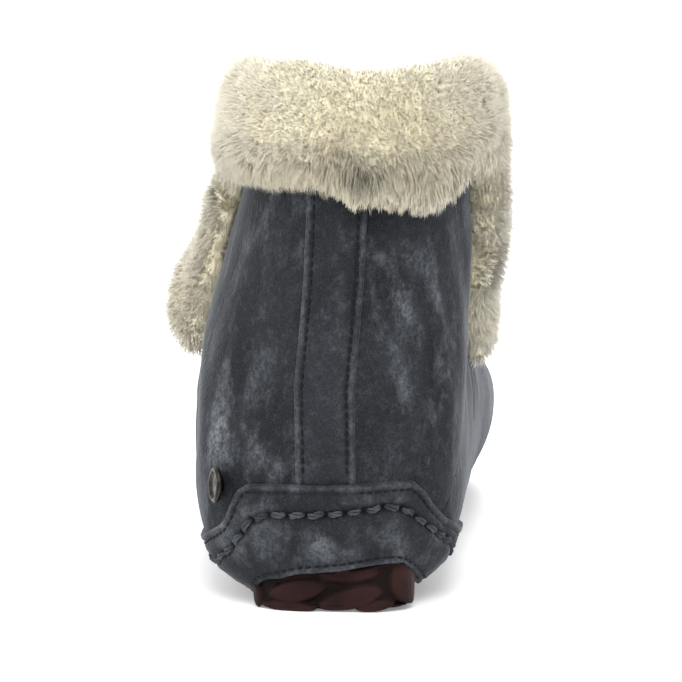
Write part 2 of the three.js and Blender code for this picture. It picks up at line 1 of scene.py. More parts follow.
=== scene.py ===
"""Looks of a left sheepskin ankle boot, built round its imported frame.

All shapes are worked out in millimetres in the last's own frame: x to the outer side, s forward from
the back of the heel (y is -s), z above the floor. They are moved into the frame of the model at the end.
"""

import bpy
import numpy as np
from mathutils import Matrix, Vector


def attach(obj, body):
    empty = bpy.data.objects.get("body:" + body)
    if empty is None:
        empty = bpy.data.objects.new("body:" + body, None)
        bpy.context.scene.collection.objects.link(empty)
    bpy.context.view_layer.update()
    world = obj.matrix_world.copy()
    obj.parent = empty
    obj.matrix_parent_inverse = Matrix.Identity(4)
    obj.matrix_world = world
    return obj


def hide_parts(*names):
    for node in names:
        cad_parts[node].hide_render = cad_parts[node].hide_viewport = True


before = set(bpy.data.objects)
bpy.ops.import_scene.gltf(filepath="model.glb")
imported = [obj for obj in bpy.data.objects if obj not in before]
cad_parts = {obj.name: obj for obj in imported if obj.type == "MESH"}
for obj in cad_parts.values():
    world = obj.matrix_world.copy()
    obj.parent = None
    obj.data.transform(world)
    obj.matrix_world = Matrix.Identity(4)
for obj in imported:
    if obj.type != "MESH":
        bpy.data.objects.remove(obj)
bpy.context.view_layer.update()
scene = bpy.context.scene
MM = 0.001
LAST_ORIGIN = np.array([-0.00094246, 0.12958304, 0.0])

# ---------------------------------------------------------------- the last
# columns: back s, back z, front s, front z, half width, shift, widest, low roundness, high roundness
SECTIONS = np.array(
    [
        [262, 28, 262, 28, 0, -9, 0.45, 2.3, 2.2],
        [258.6, 17, 259.8, 38.5, 14, -8.6, 0.45, 2.3, 2.2],
        [251, 10.6, 253.2, 44.5, 25, -7.4, 0.45, 2.4, 2.2],
        [241, 6.6, 242.6, 49, 34, -5.4, 0.45, 2.6, 2.2],
        [227, 2.6, 228, 54, 41.6, -2.6, 0.5, 2.5, 2.2],
        [209, 0, 209, 59, 47, 0, 0.55, 2.4, 2.2],
        [187, -1.5, 187, 64.5, 49, 1.4, 0.57, 2.35, 2.2],
        [164, -1.5, 165.5, 70.5, 48.2, 1.8, 0.56, 2.4, 2.2],
        [140, -1, 147, 77.5, 46.2, 1.8, 0.53, 2.6, 2.1],
        [114, 0, 132, 85, 44.8, 1.6, 0.51, 2.8, 2.1],
        [86, 1, 121.5, 92.5, 44, 1.4, 0.5, 3, 2],
        [60, 1.5, 115.5, 100, 43.6, 1.4, 0.5, 3.1, 2],
        [36, 1.5, 112, 107, 43.2, 1.4, 0.48, 3.2, 2],
        [17, 3.2, 110, 113.5, 42.2, 1.2, 0.46, 3.2, 2],
        [4, 9.6, 109, 119.5, 41.2, 1.2, 0.45, 2.6, 2],
        [0.7, 21, 108.3, 125, 40.9, 0.4, 0.45, 2.35, 2],
        [0, 35, 108, 130, 40, -1.2, 0.46, 2.2, 2],
        [0.6, 52, 107.6, 135, 38.8, -3, 0.47, 2.1, 2],
        [2.6, 72, 107.3, 140, 37.2, -4.8, 0.48, 2, 2],
        [5.5, 94, 107, 145.5, 35, -6.2, 0.49, 2, 2],
        [8.5, 116, 107, 150.5, 33.2, -7.4, 0.5, 2, 2],
        [11, 137, 107.5, 156, 32.4, -8, 0.5, 2, 2],
        [13, 157, 108.5, 163, 32.4, -8.3, 0.5, 2, 2],
        [14.5, 180, 110, 180, 32.4, -8.4, 0.5, 2, 2],
    ]
)
LAST_ROW = len(SECTIONS) - 1
TOE_ROW = 0.12
STEP = 0.02


def smooth(x, start, end):
    """0 before start, 1 after end and an S-curve 3t^2 - 2t^3 between."""
    t = np.clip((np.asarray(x, float) - start) / (end - start), 0, 1)
    return t * t * (3 - 2 * t)


def bump_of(x, middle, width):
    """A bell exp(-((x - middle) / width)^2)."""
    return np.exp(-(((x - middle) / width) ** 2))


def unit(v):
    """Vectors divided by their lengths."""
    return v / np.maximum(np.linalg.norm(v, axis=-1, keepdims=True), 1e-9)


def section_at(row):
    """The section at a fractional row: a Catmull-Rom blend of the four rows round it, column by column."""
    row = np.asarray(row, float)
    i = np.clip(np.floor(row).astype(int), 0, LAST_ROW - 1)
    t = (row - i)[..., None]
    a, b, c, d = (SECTIONS[np.clip(i + k, 0, LAST_ROW)] for k in (-1, 0, 1, 2))
    rise, fall = (c - a) / 2, (d - b) / 2
    t2, t3 = t * t, t**3
    return (2 * t3 - 3 * t2 + 1) * b + (t3 - 2 * t2 + t) * rise + (3 * t2 - 2 * t3) * c + (t3 - t2) * fall


def suede_point(row, angle):
    """The suede's face: a superellipse in each section, angle 0 at heel or bottom, pi/2 at the outer side."""
    row, angle = np.broadcast_arrays(np.asarray(row, float), np.asarray(angle, float))
    q = np.moveaxis(section_at(row), -1, 0)
    back_s, back_z, front_s, front_z, half, shift, widest, low, high = q
    c = -np.cos(angle)
    power = np.where(c < 0, low, high)
    reach = np.abs(c) ** (2 / power)
    across = np.abs(np.sin(angle)) ** (2 / power) * np.sign(np.sin(angle))
    share = np.where(c < 0, widest * (1 - reach), widest + (1 - widest) * reach)
    s = back_s + (front_s - back_s) * share
    z = back_z + (front_z - back_z) * share
    return np.stack([shift + np.maximum(half, 0) * across, -s, z], -1)


def slopes(row, angle):
    """Derivatives of the face along the rows and round the sections, by central differences."""
    at = np.clip(row, TOE_ROW + STEP, LAST_ROW - STEP)
    along = (suede_point(at + STEP, angle) - suede_point(at - STEP, angle)) / (2 * STEP)
    around = (suede_point(at, angle + STEP) - suede_point(at, angle - STEP)) / (2 * STEP)
    return along, around


def suede_normal(row, angle):
    """Outward unit normal: the cross product of the two slopes."""
    along, around = slopes(row, angle)
    return unit(np.cross(along, around))


def walk(row, angle, heading, distance, steps=14):
    """Places reached by going distance over the face along a heading that is kept level with it."""
    row, angle = np.array(row, float), np.array(angle, float)
    for _ in range(steps):
        along, around = slopes(row, angle)
        normal = unit(np.cross(along, around))
        heading = unit(heading - normal * np.sum(heading * normal, -1, keepdims=True))
        move = heading * (distance / steps)[..., None]
        aa, bb = np.sum(along * along, -1), np.sum(around * around, -1)
        ab, ma, mb = np.sum(along * around, -1), np.sum(move * along, -1), np.sum(move * around, -1)
        under = aa * bb - ab * ab
        row = np.minimum(row + (ma * bb - mb * ab) / under, LAST_ROW - 2 * STEP)
        angle = angle + (mb * aa - ma * ab) / under
    return row, angle


def locate(read, wanted, row, angle, turns=14):
    """Newton's method for the place on the face whose read(point), two numbers, is wanted."""
    row, angle = np.array(row, float), np.array(angle, float)
    for _ in range(turns):
        miss = wanted - read(suede_point(row, angle))
        by_row = (read(suede_point(row + 0.005, angle)) - read(suede_point(row - 0.005, angle))) / 0.01
        by_angle = (read(suede_point(row, angle + 0.005)) - read(suede_point(row, angle - 0.005))) / 0.01
        under = by_row[..., 0] * by_angle[..., 1] - by_row[..., 1] * by_angle[..., 0]
        under = np.where(np.abs(under) < 1e-6, 1e-6, under)
        d_row = (miss[..., 0] * by_angle[..., 1] - miss[..., 1] * by_angle[..., 0]) / under
        d_angle = (by_row[..., 0] * miss[..., 1] - by_row[..., 1] * miss[..., 0]) / under
        row = np.clip(row + np.clip(d_row, -0.6, 0.6), 8, LAST_ROW - 0.1)
        angle = np.clip(angle + np.clip(d_angle, -0.15, 0.15), -2.6, 2.6)
    return row, angle


# ---------------------------------------------------------------- the fold of the collar and the feather line
FOLD_POINTS = np.array([[-40, 150], [10, 152], [46, 154], [74, 150], [93, 136], [105, 116], [116, 98]], float)


def curve_through(points, count):
    """A smooth curve through points, evenly spaced: Hermite pieces whose slopes come from chord lengths."""
    knots = np.concatenate([[0], np.cumsum(np.sqrt(np.linalg.norm(np.diff(points, axis=0), axis=1)))])
    slope = np.gradient(points, knots, axis=0)
    u = np.linspace(0, knots[-1], 40 * len(points))
    i = np.clip(np.searchsorted(knots, u, side="right") - 1, 0, len(points) - 2)
    width = (knots[i + 1] - knots[i])[:, None]
    t = ((u - knots[i])[:, None]) / width
    h = (2 * t**3 - 3 * t**2 + 1) * points[i] + (t**3 - 2 * t**2 + t) * width * slope[i]
    dense = h + (3 * t**2 - 2 * t**3) * points[i + 1] + (t**3 - t**2) * width * slope[i + 1]
    length = np.concatenate([[0], np.cumsum(np.linalg.norm(np.diff(dense, axis=0), axis=1))])
    even = np.linspace(0, length[-1], count)
    return np.stack([np.interp(even, length, dense[:, k]) for k in range(points.shape[1])], -1)


# rows of the last between which the fold runs
FOLD_FIRST_ROW, FOLD_LAST_ROW = 9.4, 22.9
FOLD = curve_through(FOLD_POINTS, 41)
FOLD_END = FOLD[-1]
FOLD_RUN = unit(FOLD[-1] - FOLD[-3])


def below_fold(points):
    """Signed distance from the fold seen from the side: positive below, behind or past its lower end."""
    at = np.stack([-points[..., 1], points[..., 2]], -1)[..., None, :]
    run = FOLD[1:] - FOLD[:-1]
    t = np.clip(np.sum((at - FOLD[:-1]) * run, -1) / np.sum(run * run, -1), 0, 1)
    away = at - (FOLD[:-1] + t[..., None] * run)
    distance = np.linalg.norm(away, axis=-1)
    best = np.argmin(distance, -1)[..., None]
    side = run[..., 0] * away[..., 1] - run[..., 1] * away[..., 0]
    near = np.take_along_axis(distance, best, -1)[..., 0]
    past = (at[..., 0, :] - FOLD_END) @ FOLD_RUN > 0
    return np.where((np.take_along_axis(side, best, -1)[..., 0] > 0) & ~past, -near, near)


def tread_lift(s):
    """Height of the tread: flat under heel and ball, a low arch at the waist, a parabola at the toe."""
    return 2.6 * smooth(s, 66, 92) * (1 - smooth(s, 118, 146)) + 9 * (np.maximum(s - 196, 0) / 58) ** 2


def feather_height(s):
    """Height where suede meets rubber: a low side, rolled up behind the heel and a little at the toe."""
    heel = 8.1 * np.exp(-((np.maximum(s - 2.5, 0) / 11) ** 2))
    return 4.4 + heel + 1.6 * smooth(s, 236, 253) + tread_lift(s)


# x from behind, and how much higher the feather line runs there behind the heel
HEEL_LEAN = np.array(
    [
        [-40, 0.4],
        [-30, 1.6],
        [-25, 2.8],
        [-21, 3.0],
        [-16.7, 2.3],
        [-3.3, 0.1],
        [8.8, -0.9],
        [14.2, -2.0],
        [23.6, -1.2],
        [38, 0],
    ]
)


def rubber_edge(points):
    """Height of the leather's lower edge at points: the feather line, which leans behind the heel."""
    s = -points[..., 1]
    lean = np.interp(points[..., 0], HEEL_LEAN[:, 0], HEEL_LEAN[:, 1])
    return feather_height(s) + lean * (1 - smooth(s, 12, 34))


def above_feather(points):
    """Height of points above the feather line."""
    return points[..., 2] - feather_height(-points[..., 1])


def bisect(f, low, high, turns=32):
    """Where f, which grows from below zero to above it, crosses zero; element by element."""
    low, high = np.array(low, float), np.array(high, float)
    for _ in range(turns):
        middle = (low + high) / 2
        under = f(middle) < 0
        low, high = np.where(under, middle, low), np.where(under, high, middle)
    return (low + high) / 2


TOE_END = float(bisect(lambda r: -above_feather(suede_point(r, 0.0)), 0.4, 3))
HEEL_END = float(bisect(lambda r: above_feather(suede_point(r, 0.0)), 11, 16))


def feather_angle(row, side=1):
    """Angle where the face meets the feather line; 0 before the toe's end and past the heel's end."""
    row = np.asarray(row, float)
    inside = np.clip(row, TOE_END, HEEL_END)
    low = np.zeros_like(inside)
    high = np.full_like(inside, np.pi / 2)
    found = bisect(lambda a: above_feather(suede_point(inside, side * a)), low, high)
    return np.where((row > TOE_END) & (row < HEEL_END), found, 0.0)


# ---------------------------------------------------------------- pieces from arrays
def grid_faces(rows, columns, wrap=False):
    """Four-cornered faces of a grid of rows by columns; wrap joins the last column to the first."""
    index = np.arange(rows * columns).reshape(rows, columns)
    if wrap:
        index = np.hstack([index, index[:, :1]])
    corners = [index[:-1, :-1], index[1:, :-1], index[1:, 1:], index[:-1, 1:]]
    return np.stack(corners, -1).reshape(-1, 4)


def zip_faces(fine, coarse):
    """Triangles between two lines of points; each coarse step spans the same even number of fine ones."""
    ratio = (len(fine) - 1) // (len(coarse) - 1)
    i = np.arange(len(fine) - 1)
    k = np.arange(len(coarse) - 1)
    first = np.stack([fine[i], fine[i + 1], coarse[(i + ratio // 2) // ratio]], -1)
    second = np.stack([coarse[k + 1], coarse[k], fine[ratio * k + ratio // 2]], -1)
    return np.concatenate([first, second])


def turned(points, faces, outward):
    """The faces, turned over if on the whole they look against the outward vectors of their first corners."""
    a, b, c = points[faces[:, 0]], points[faces[:, 1]], points[faces[:, 2]]
    looks = np.sum(np.cross(b - a, c - a) * outward[faces[:, 0]])
    return faces if looks > 0 else faces[:, ::-1]


def make_piece(name, points, faces, material, values=None, flat=False):
    """A mesh from points in the last's millimetres and lists of faces, riding on the boot."""
    mesh = bpy.data.meshes.new(name)
    corners = np.concatenate([f.ravel() for f in faces]).astype(np.int32)
    sizes = np.concatenate([np.full(len(f), f.shape[1]) for f in faces])
    starts = np.concatenate([[0], np.cumsum(sizes)[:-1]]).astype(np.int32)
    mesh.vertices.add(len(points))
    mesh.vertices.foreach_set("co", (points * MM + LAST_ORIGIN).astype(np.float32).ravel())
    mesh.loops.add(len(corners))
    mesh.loops.foreach_set("vertex_index", corners)
    mesh.polygons.add(len(sizes))
    mesh.polygons.foreach_set("loop_start", starts)
    mesh.polygons.foreach_set("use_smooth", np.full(len(sizes), not flat))
    mesh.update(calc_edges=True)
    for key, value in (values or {}).items():
        layer = mesh.attributes.new(key, "FLOAT", "POINT")
        layer.data.foreach_set("value", np.asarray(value, np.float32).ravel())
    mesh.materials.append(material)
    piece = bpy.data.objects.new(name, mesh)
    scene.collection.objects.link(piece)
    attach(piece, "root")
    return piece


def lattice_noise(points, size, seed):
    """Soft noise from -1 to 1: random numbers on a cubic lattice of the given size, blended smoothly."""
    table = np.random.default_rng(seed).uniform(-1, 1, (32, 32, 32))
    at = points / size
    base = np.floor(at).astype(int)
    f = at - base
    f = f * f * (3 - 2 * f)
    total = 0
    for corner in range(8):
        bits = [(corner >> k) & 1 for k in range(3)]
        pick = table[tuple((base[..., k] + bits[k]) % 32 for k in range(3))]
        share = np.prod([f[..., k] if bits[k] else 1 - f[..., k] for k in range(3)], axis=0)
        total = total + pick * share
    return total


def strokes(points, table):
    """Sum of soft strokes: strength * exp(-(distance to the stroke's line / width)^2).
    Each row is x, s, z of one end, x, s, z of the other, width, strength."""
    total = np.zeros(points.shape[:-1])
    for x0, s0, z0, x1, s1, z1, width, strength in table:
        a, b = np.array([x0, -s0, z0], float), np.array([x1, -s1, z1], float)
        run = b - a
        t = np.clip(((points - a) @ run) / max(run @ run, 1e-9), 0, 1)
        distance = np.linalg.norm(points - (a + t[..., None] * run), axis=-1)
        total = total + strength * np.exp(-((distance / width) ** 2))
    return total


# ---------------------------------------------------------------- materials
def new_material(name, colour, roughness, **sockets):
    """A material whose surface shader has these constant sockets."""
    material = bpy.data.materials.new(name)
    material.use_nodes = True
    shader = material.node_tree.nodes["Principled BSDF"]
    shader.inputs["Base Color"].default_value = (*colour, 1)
    shader.inputs["Roughness"].default_value = roughness
    for key, value in sockets.items():
        shader.inputs[key.replace("_", " ")].default_value = value
    return material, shader


def node(material, kind, **inputs):
    """A node of that kind; inputs go by socket name, or i and a number, and a socket as value is linked."""
    made = material.node_tree.nodes.new(kind)
    for key, value in inputs.items():
        by_number = key[0] == "i" and key[1:].isdigit()
        socket = made.inputs[int(key[1:]) if by_number else key.replace("_", " ")]
        if isinstance(value, bpy.types.NodeSocket):
            material.node_tree.links.new(value, socket)
        else:
            socket.default_value = value
    return made


def place(material):
    """Object coordinates."""
    return node(material, "ShaderNodeTexCoord").outputs["Object"]


def noise(material, at, scale, detail=3.0, roughness=0.55, stretch=None):
    """Noise on a place, which stretch multiplies first."""
    if stretch:
        at = node(material, "ShaderNodeMapping", Vector=at, Scale=stretch).outputs[0]
    made = node(material, "ShaderNodeTexNoise", Vector=at, Scale=scale, Detail=detail, Roughness=roughness)
    return made.outputs["Fac"]


def ramp(material, value, low, high, to_low=0.0, to_high=1.0):
    """The value stretched from low..high to to_low..to_high and clamped."""
    made = node(material, "ShaderNodeMapRange", i0=value, i1=low, i2=high, i3=to_low, i4=to_high)
    return made.outputs[0]


def mix(material, share, first, second):
    """A blend of two colours."""
    made = material.node_tree.nodes.new("ShaderNodeMix")
    made.data_type = "RGBA"
    for socket, value in ((made.inputs[0], share), (made.inputs[6], first), (made.inputs[7], second)):
        if isinstance(value, bpy.types.NodeSocket):
            material.node_tree.links.new(value, socket)
        elif isinstance(value, tuple):
            socket.default_value = (*value, 1)
        else:
            socket.default_value = value
    return made.outputs[2]


def maths(material, operation, first, second=0.0):
    """Arithmetic on two values."""
    made = material.node_tree.nodes.new("ShaderNodeMath")
    made.operation = operation
    for socket, value in zip(made.inputs, (first, second)):
        if isinstance(value, bpy.types.NodeSocket):
            material.node_tree.links.new(value, socket)
        else:
            socket.default_value = value
    return made.outputs[0]


def attribute(material, name):
    """A number kept at each point of the piece."""
    made = material.node_tree.nodes.new("ShaderNodeAttribute")
    made.attribute_name = name
    return made.outputs["Fac"]


def bump(material, shader, height, distance, strength=1.0):
    """Relief from a height."""
    made = node(material, "ShaderNodeBump", Height=height, Distance=distance, Strength=strength)
    material.node_tree.links.new(made.outputs[0], shader.inputs["Normal"])


def link(material, value, socket):
    """Joins a value to a socket."""
    material.node_tree.links.new(value, socket)


def suede_finish(name, dark, middle, light, streak):
    """Slate nubuck: mottled in four sizes, pale where the nap is worn and where a highlight is painted,
    nearly black where painted shade is set, with a fine nap of dark and pale specks.
    """
    material, shader = new_material(name, middle, 0.96, Sheen_Weight=0.3, Sheen_Roughness=0.26)
    shader.inputs["Specular IOR Level"].default_value = 0.1
    shader.inputs["Sheen Tint"].default_value = (0.84, 0.88, 0.95, 1)
    at = place(material)
    clouds = noise(material, at, 30, 5, 0.62, (1, 1, 0.62))
    patches = noise(material, at, 80, 5, 0.66, (1, 1, 0.5))
    mottle = noise(material, at, 340, 4, 0.6)
    speckle = noise(material, at, 1100, 2, 0.55)
    grain = noise(material, at, 2900, 2, 0.5)
    tone = mix(material, ramp(material, clouds, 0.42, 0.6), dark, middle)
    tone = mix(material, ramp(material, patches, 0.46, 0.76, 0, 0.6), tone, light)
    patchy = ramp(material, patches, 0.3, 0.7, -0.34, 0.3)
    # the pale share plus random patches: worn nap, and a painted highlight where the pale share carries one
    rubbed_and_highlight = maths(material, "ADD", attribute(material, "pale"), patchy)
    rubbed_and_highlight = maths(material, "MULTIPLY", rubbed_and_highlight, ramp(material, mottle, 0.3, 0.68, 0.55, 1.3))
    tone = mix(material, ramp(material, rubbed_and_highlight, 0.03, 0.95), tone, streak)
    tone = mix(material, ramp(material, mottle, 0.36, 0.6, 0.5, 0.0), tone, dark)
    tone = mix(material, ramp(material, mottle, 0.54, 0.74, 0.0, 0.4), tone, light)
    tone = mix(material, ramp(material, speckle, 0.34, 0.56, 0.6, 0.0), tone, dark)
    tone = mix(material, ramp(material, grain, 0.52, 0.7, 0.0, 0.5), tone, light)
    # painted shade: where the dark share is set, the colour goes nearly black in stitch holes, stitched
    # troughs and under the panel's edge
    sunk = ramp(material, attribute(material, "dark"), 0, 1, 0, 0.92)
    tone = mix(material, sunk, tone, (0.008, 0.008, 0.01))
    link(material, tone, shader.inputs["Base Color"])
    relief = maths(material, "MULTIPLY", speckle, 0.7)
    for layer, weight in ((grain, 0.35), (mottle, 1.2)):
        relief = maths(material, "ADD", relief, maths(material, "MULTIPLY", layer, weight))
    bump(material, shader, relief, 0.00026, 0.75)
    return material


SUEDE = suede_finish(
    "slate_suede",
    dark=(0.0115, 0.0122, 0.0145),
    middle=(0.0265, 0.029, 0.034),
    light=(0.062, 0.068, 0.078),
    streak=(0.18, 0.195, 0.217),
)
PANEL_SUEDE = suede_finish(
    "panel_suede",
    dark=(0.0145, 0.0155, 0.0185),
    middle=(0.0275, 0.030, 0.035),
    light=(0.058, 0.063, 0.073),
    streak=(0.13, 0.141, 0.158),
)


# the shading normal of the wool, kept at each point so that strands are lit as the fleece they grow from
LIE = ("lie_x", "lie_y", "lie_z")


def lie_of(vectors):
    """The three numbers of the shading normal at each point."""
    flat = unit(vectors).reshape(-1, 3)
    return {name: flat[:, axis] for axis, name in enumerate(LIE)}


def wool_finish(name, light, deep, tan, shadow):
    """Wool: each strand runs from a deep root to a pale tip; the tan share is stains plus warm painted shade,
    the grey share blends toward a shadow colour as painted shade, with a few darker patches.
    """
    material, shader = new_material(name, light, 0.9, Sheen_Weight=0.15, Sheen_Roughness=0.6)
    shader.inputs["Subsurface Weight"].default_value = 0.3
    shader.inputs["Specular IOR Level"].default_value = 0.15
    shader.inputs["Subsurface Radius"].default_value = (1.0, 0.97, 0.9)
    shader.inputs["Subsurface Scale"].default_value = 0.002
    along = attribute(material, "along")
    slow = noise(material, place(material), 70, 3, 0.55)
    tone = mix(material, ramp(material, along, 0.15, 0.8), deep, light)
    tone = mix(material, ramp(material, slow, 0.45, 0.72, 0, 0.22), tone, tan)
    # tan: stains, plus warm painted shade of the lower side; grey: painted shade toward the shadow colour
    tone = mix(material, attribute(material, "tan"), tone, tan)
    tone = mix(material, attribute(material, "grey"), tone, shadow)
    link(material, tone, shader.inputs["Base Color"])
    lie = material.node_tree.nodes.new("ShaderNodeCombineXYZ")
    for axis, name in enumerate(LIE):
        link(material, attribute(material, name), lie.inputs[axis])
    link(material, lie.outputs[0], shader.inputs["Normal"])
    return material


WOOL = wool_finish(
    "cream_wool",
    light=(0.99, 0.925, 0.7),
    deep=(0.955, 0.86, 0.61),
    tan=(0.88, 0.7, 0.4),
    shadow=(0.1, 0.09, 0.068),
)


# ---------------------------------------------------------------- the suede shell
SHELL_ROWS = 193
SHELL_COLUMNS = 217
WALL_ROWS = 33
SUEDE_THICKNESS = 1.9
# how far the suede's lower edge turns in behind the sole
HEEL_TUCK = 1.3
# the hole left at the toe's tip, as a share of the first ring
TIP_SHARE = 0.02

# soft troughs and ridges of the worn-in suede: x, s, z of both ends, width, height (negative is a trough)
CREASES = [
    [46, 60, 34, 44, 74, 96, 7, -1.0],
    [45, 96, 48, 42, 86, 88, 6, -1.1],
    [-46, 96, 50, -40, 88, 96, 6, -1.6],
    [-46, 70, 40, -42, 62, 90, 8, -0.9],
    [-47, 118, 40, -40, 108, 78, 5, 1.0],
    [47, 118, 40, 42, 110, 76, 5, 0.9],
    [-22, 8, 118, -30, 16, 70, 6, -0.9],
    [-28, 14, 112, -34, 24, 60, 5, 0.7],
    [-17, 5, 100, -20, 6, 58, 4.5, 0.5],
    [22, 8, 116, 28, 14, 66, 6, -0.7],
    [31, 18, 108, 37, 26, 58, 5, 0.6],
    [38, 36, 120, 43, 44, 74, 7, -0.9],
    [-38, 34, 124, -42, 44, 84, 7, -0.9],
    [30, 16, 40, 36, 24, 24, 4, 0.5],
    [-30, 16, 40, -36, 24, 24, 4, 0.5],
    [-30, 150, 66, 30, 150, 66, 7, -1.4],
    [-34, 168, 58, 34, 170, 58, 6, 0.9],
    [-30, 186, 54, 26, 190, 54, 6, -1.0],
]

# where the nap is paler: worn streaks, and in the first two rows a painted highlight along the outer side's
# edge; in the same columns
PALE = [
    [37, 26, 82, 36, 22, 46, 5, 1.0],
    [39, 32, 96, 38, 28, 72, 4, 0.7],
    [29, 12, 47, 16, 3, 45, 4.5, 0.35],
    [33, 17, 44, 29, 12, 60, 3, 0.4],
    [34, 20, 96, 37, 28, 70, 2.5, 0.3],
    [24, 8, 76, 28, 12, 54, 2.5, 0.3],
    [24, 9, 50, 20, 5, 42, 4, 0.3],
    [-20, 6, 126, -31, 20, 92, 3, 0.55],
    [-18, 5, 106, -31, 20, 70, 3, 0.5],
    [-30, 20, 130, -36, 32, 110, 3, 0.5],
    [-15, 3, 92, -24, 9, 62, 2.5, 0.4],
    [-28, 14, 62, -32, 20, 46, 3, 0.3],
    [-12, 3, 120, -16, 5, 104, 2.5, 0.35],
    [16, 2, 118, 18, 4, 84, 2.5, 0.2],
]


def suede_relief(points):
    """Height of the listed troughs and ridges plus a slow waviness of the skin."""
    waves = 0.35 * lattice_noise(points, 26, 3) + 0.16 * lattice_noise(points, 11, 4)
    return strokes(points, CREASES) + waves


def shell_places(rows, columns):
    """Rows and angles of a grid over the face from toe to fold, between the two feather lines."""
    v = np.linspace(0, 1, columns)

    def angle_of(row):
        right, left = feather_angle(row, 1), feather_angle(row, -1)
        return right + (2 * np.pi - right - left) * v

    low, high = np.full(columns, FOLD_FIRST_ROW), np.full(columns, FOLD_LAST_ROW)
    top = bisect(lambda r: -below_fold(suede_point(r, angle_of(r))), low, high)
    u = np.linspace(0, 1, rows)[:, None]
    row = TOE_ROW + (top[None, :] - TOE_ROW) * u
    right, left = feather_angle(row, 1), feather_angle(row, -1)
    return row, right + (2 * np.pi - right - left) * v[None, :]


def wall_between(outer, inner, outward):
    """Closed wall between an outer grid and an inner grid that has fewer rows and the same columns."""
    rows, columns = outer.shape[:2]
    few = inner.shape[0]
    points = np.concatenate([outer.reshape(-1, 3), inner.reshape(-1, 3)])
    base = rows * columns
    outside = np.concatenate([outward.reshape(-1, 3), np.zeros((few * columns, 3))])
    face = turned(points, grid_faces(rows, columns), outside)
    flipped = not np.array_equal(face, grid_faces(rows, columns))
    back = grid_faces(few, columns) + base
    back = back if flipped else back[:, ::-1]
    fine, coarse = np.arange(rows) * columns, base + np.arange(few) * columns
    left = zip_faces(fine, coarse)
    right = zip_faces(fine + columns - 1, coarse + columns - 1)[:, ::-1]
    top_out = (rows - 1) * columns + np.arange(columns)
    top_in = base + (few - 1) * columns + np.arange(columns)
    top = np.stack([top_out[:-1], top_out[1:], top_in[1:], top_in[:-1]], -1)
    foot_out, foot_in = np.arange(columns), base + np.arange(columns)
    foot = np.stack([foot_out[1:], foot_out[:-1], foot_in[:-1], foot_in[1:]], -1)
    if flipped:
        return points, [face, back, left[:, ::-1], right[:, ::-1], top[:, ::-1], foot[:, ::-1]]
    return points, [face, back, left, right, top, foot]


def make_suede_shell():
    """The suede upper: the last's face with its creases, and an inner face one skin further in."""
    row, angle = shell_places(SHELL_ROWS, SHELL_COLUMNS)
    points = suede_point(row, angle)
    normals = suede_normal(row, angle)
    fade = smooth(above_feather(points), 2, 12)
    at_heel = 1 - smooth(-points[..., 1], 20, 40)
    tuck = HEEL_TUCK * smooth(rubber_edge(points) + 2.2 - points[..., 2], 0, 1.6) * at_heel
    outer = points + normals * (suede_relief(points) * fade - tuck)[..., None]
    inner_row, inner_angle = shell_places(WALL_ROWS, SHELL_COLUMNS)
    inner = suede_point(inner_row, inner_angle) - SUEDE_THICKNESS * suede_normal(inner_row, inner_angle)
    for tip in (outer[0], inner[0]):
        tip[:] = tip.mean(0) + TIP_SHARE * (tip - tip.mean(0))
    # pale: worn streaks, with a painted highlight along the outer side's edge
    pale = strokes(points, PALE) * (0.75 + 0.4 * lattice_noise(points, 5, 9))
    all_points, faces = wall_between(outer, inner, normals)
    rest = np.zeros(inner.shape[0] * inner.shape[1])
    values = {"pale": np.concatenate([pale.ravel(), rest]), "dark": np.zeros(len(all_points))}
    piece = make_piece("suede_shell", all_points, faces, SUEDE, values)
    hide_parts("upper")
    return piece


make_suede_shell()

# ---------------------------------------------------------------- places seen from behind and round the heel
HEEL_CENTRE = np.array([-0.5, 44.0])
SEED_ROWS, SEED_ANGLES = np.meshgrid(np.arange(9.5, 22.9, 0.1), np.arange(-1.9, 1.9, 0.04), indexing="ij")
SEED_POINTS = suede_point(SEED_ROWS, SEED_ANGLES).reshape(-1, 3)


def across_and_up(points):
    """x and z of points, as seen from straight behind."""
    return np.stack([points[..., 0], points[..., 2]], -1)


def turn_and_up(points):
    """The turn round the middle of the heel, in degrees from straight behind, and z."""
    turn = np.degrees(np.arctan2(points[..., 0] - HEEL_CENTRE[0], HEEL_CENTRE[1] + points[..., 1]))
    return np.stack([turn, points[..., 2]], -1)


def find(read, wanted, behind=70.0):
    """Rows and angles whose read is wanted: the nearest of a coarse table, then Newton's method."""
    usable = -SEED_POINTS[:, 1] < behind
    table = read(SEED_POINTS[usable])
    nearest = np.argmin(np.sum((wanted[:, None, :] - table[None]) ** 2, -1), 1)
    return locate(read, wanted, SEED_ROWS.ravel()[usable][nearest], SEED_ANGLES.ravel()[usable][nearest])


def sweep(read, wanted, behind=70.0):
    """Rows and angles of a whole grid: the first line is found, each next one starts from the one before."""
    row, angle = find(read, wanted[0], behind)
    rows, angles = [row], [angle]
    for line in wanted[1:]:
        row, angle = locate(read, line, row, angle, 5)
        rows.append(row)
        angles.append(angle)
    return np.array(rows), np.array(angles)


def spaced(points, count):
    """Points at even distances along a line of points."""
    length = np.concatenate([[0], np.cumsum(np.linalg.norm(np.diff(points, axis=0), axis=1))])
    even = np.linspace(0, length[-1], count)
    return np.stack([np.interp(even, length, points[:, k]) for k in range(points.shape[1])], -1)


def distance_to(points, line):
    """Distance from points to the nearest of a line's dense points."""
    flat = points.reshape(-1, 3)
    near = np.full(len(flat), 1e9)
    for part in np.array_split(line, max(len(line) // 40, 1)):
        near = np.minimum(near, np.min(np.linalg.norm(flat[:, None] - part[None], axis=-1), 1))
    return near.reshape(points.shape[:-1])


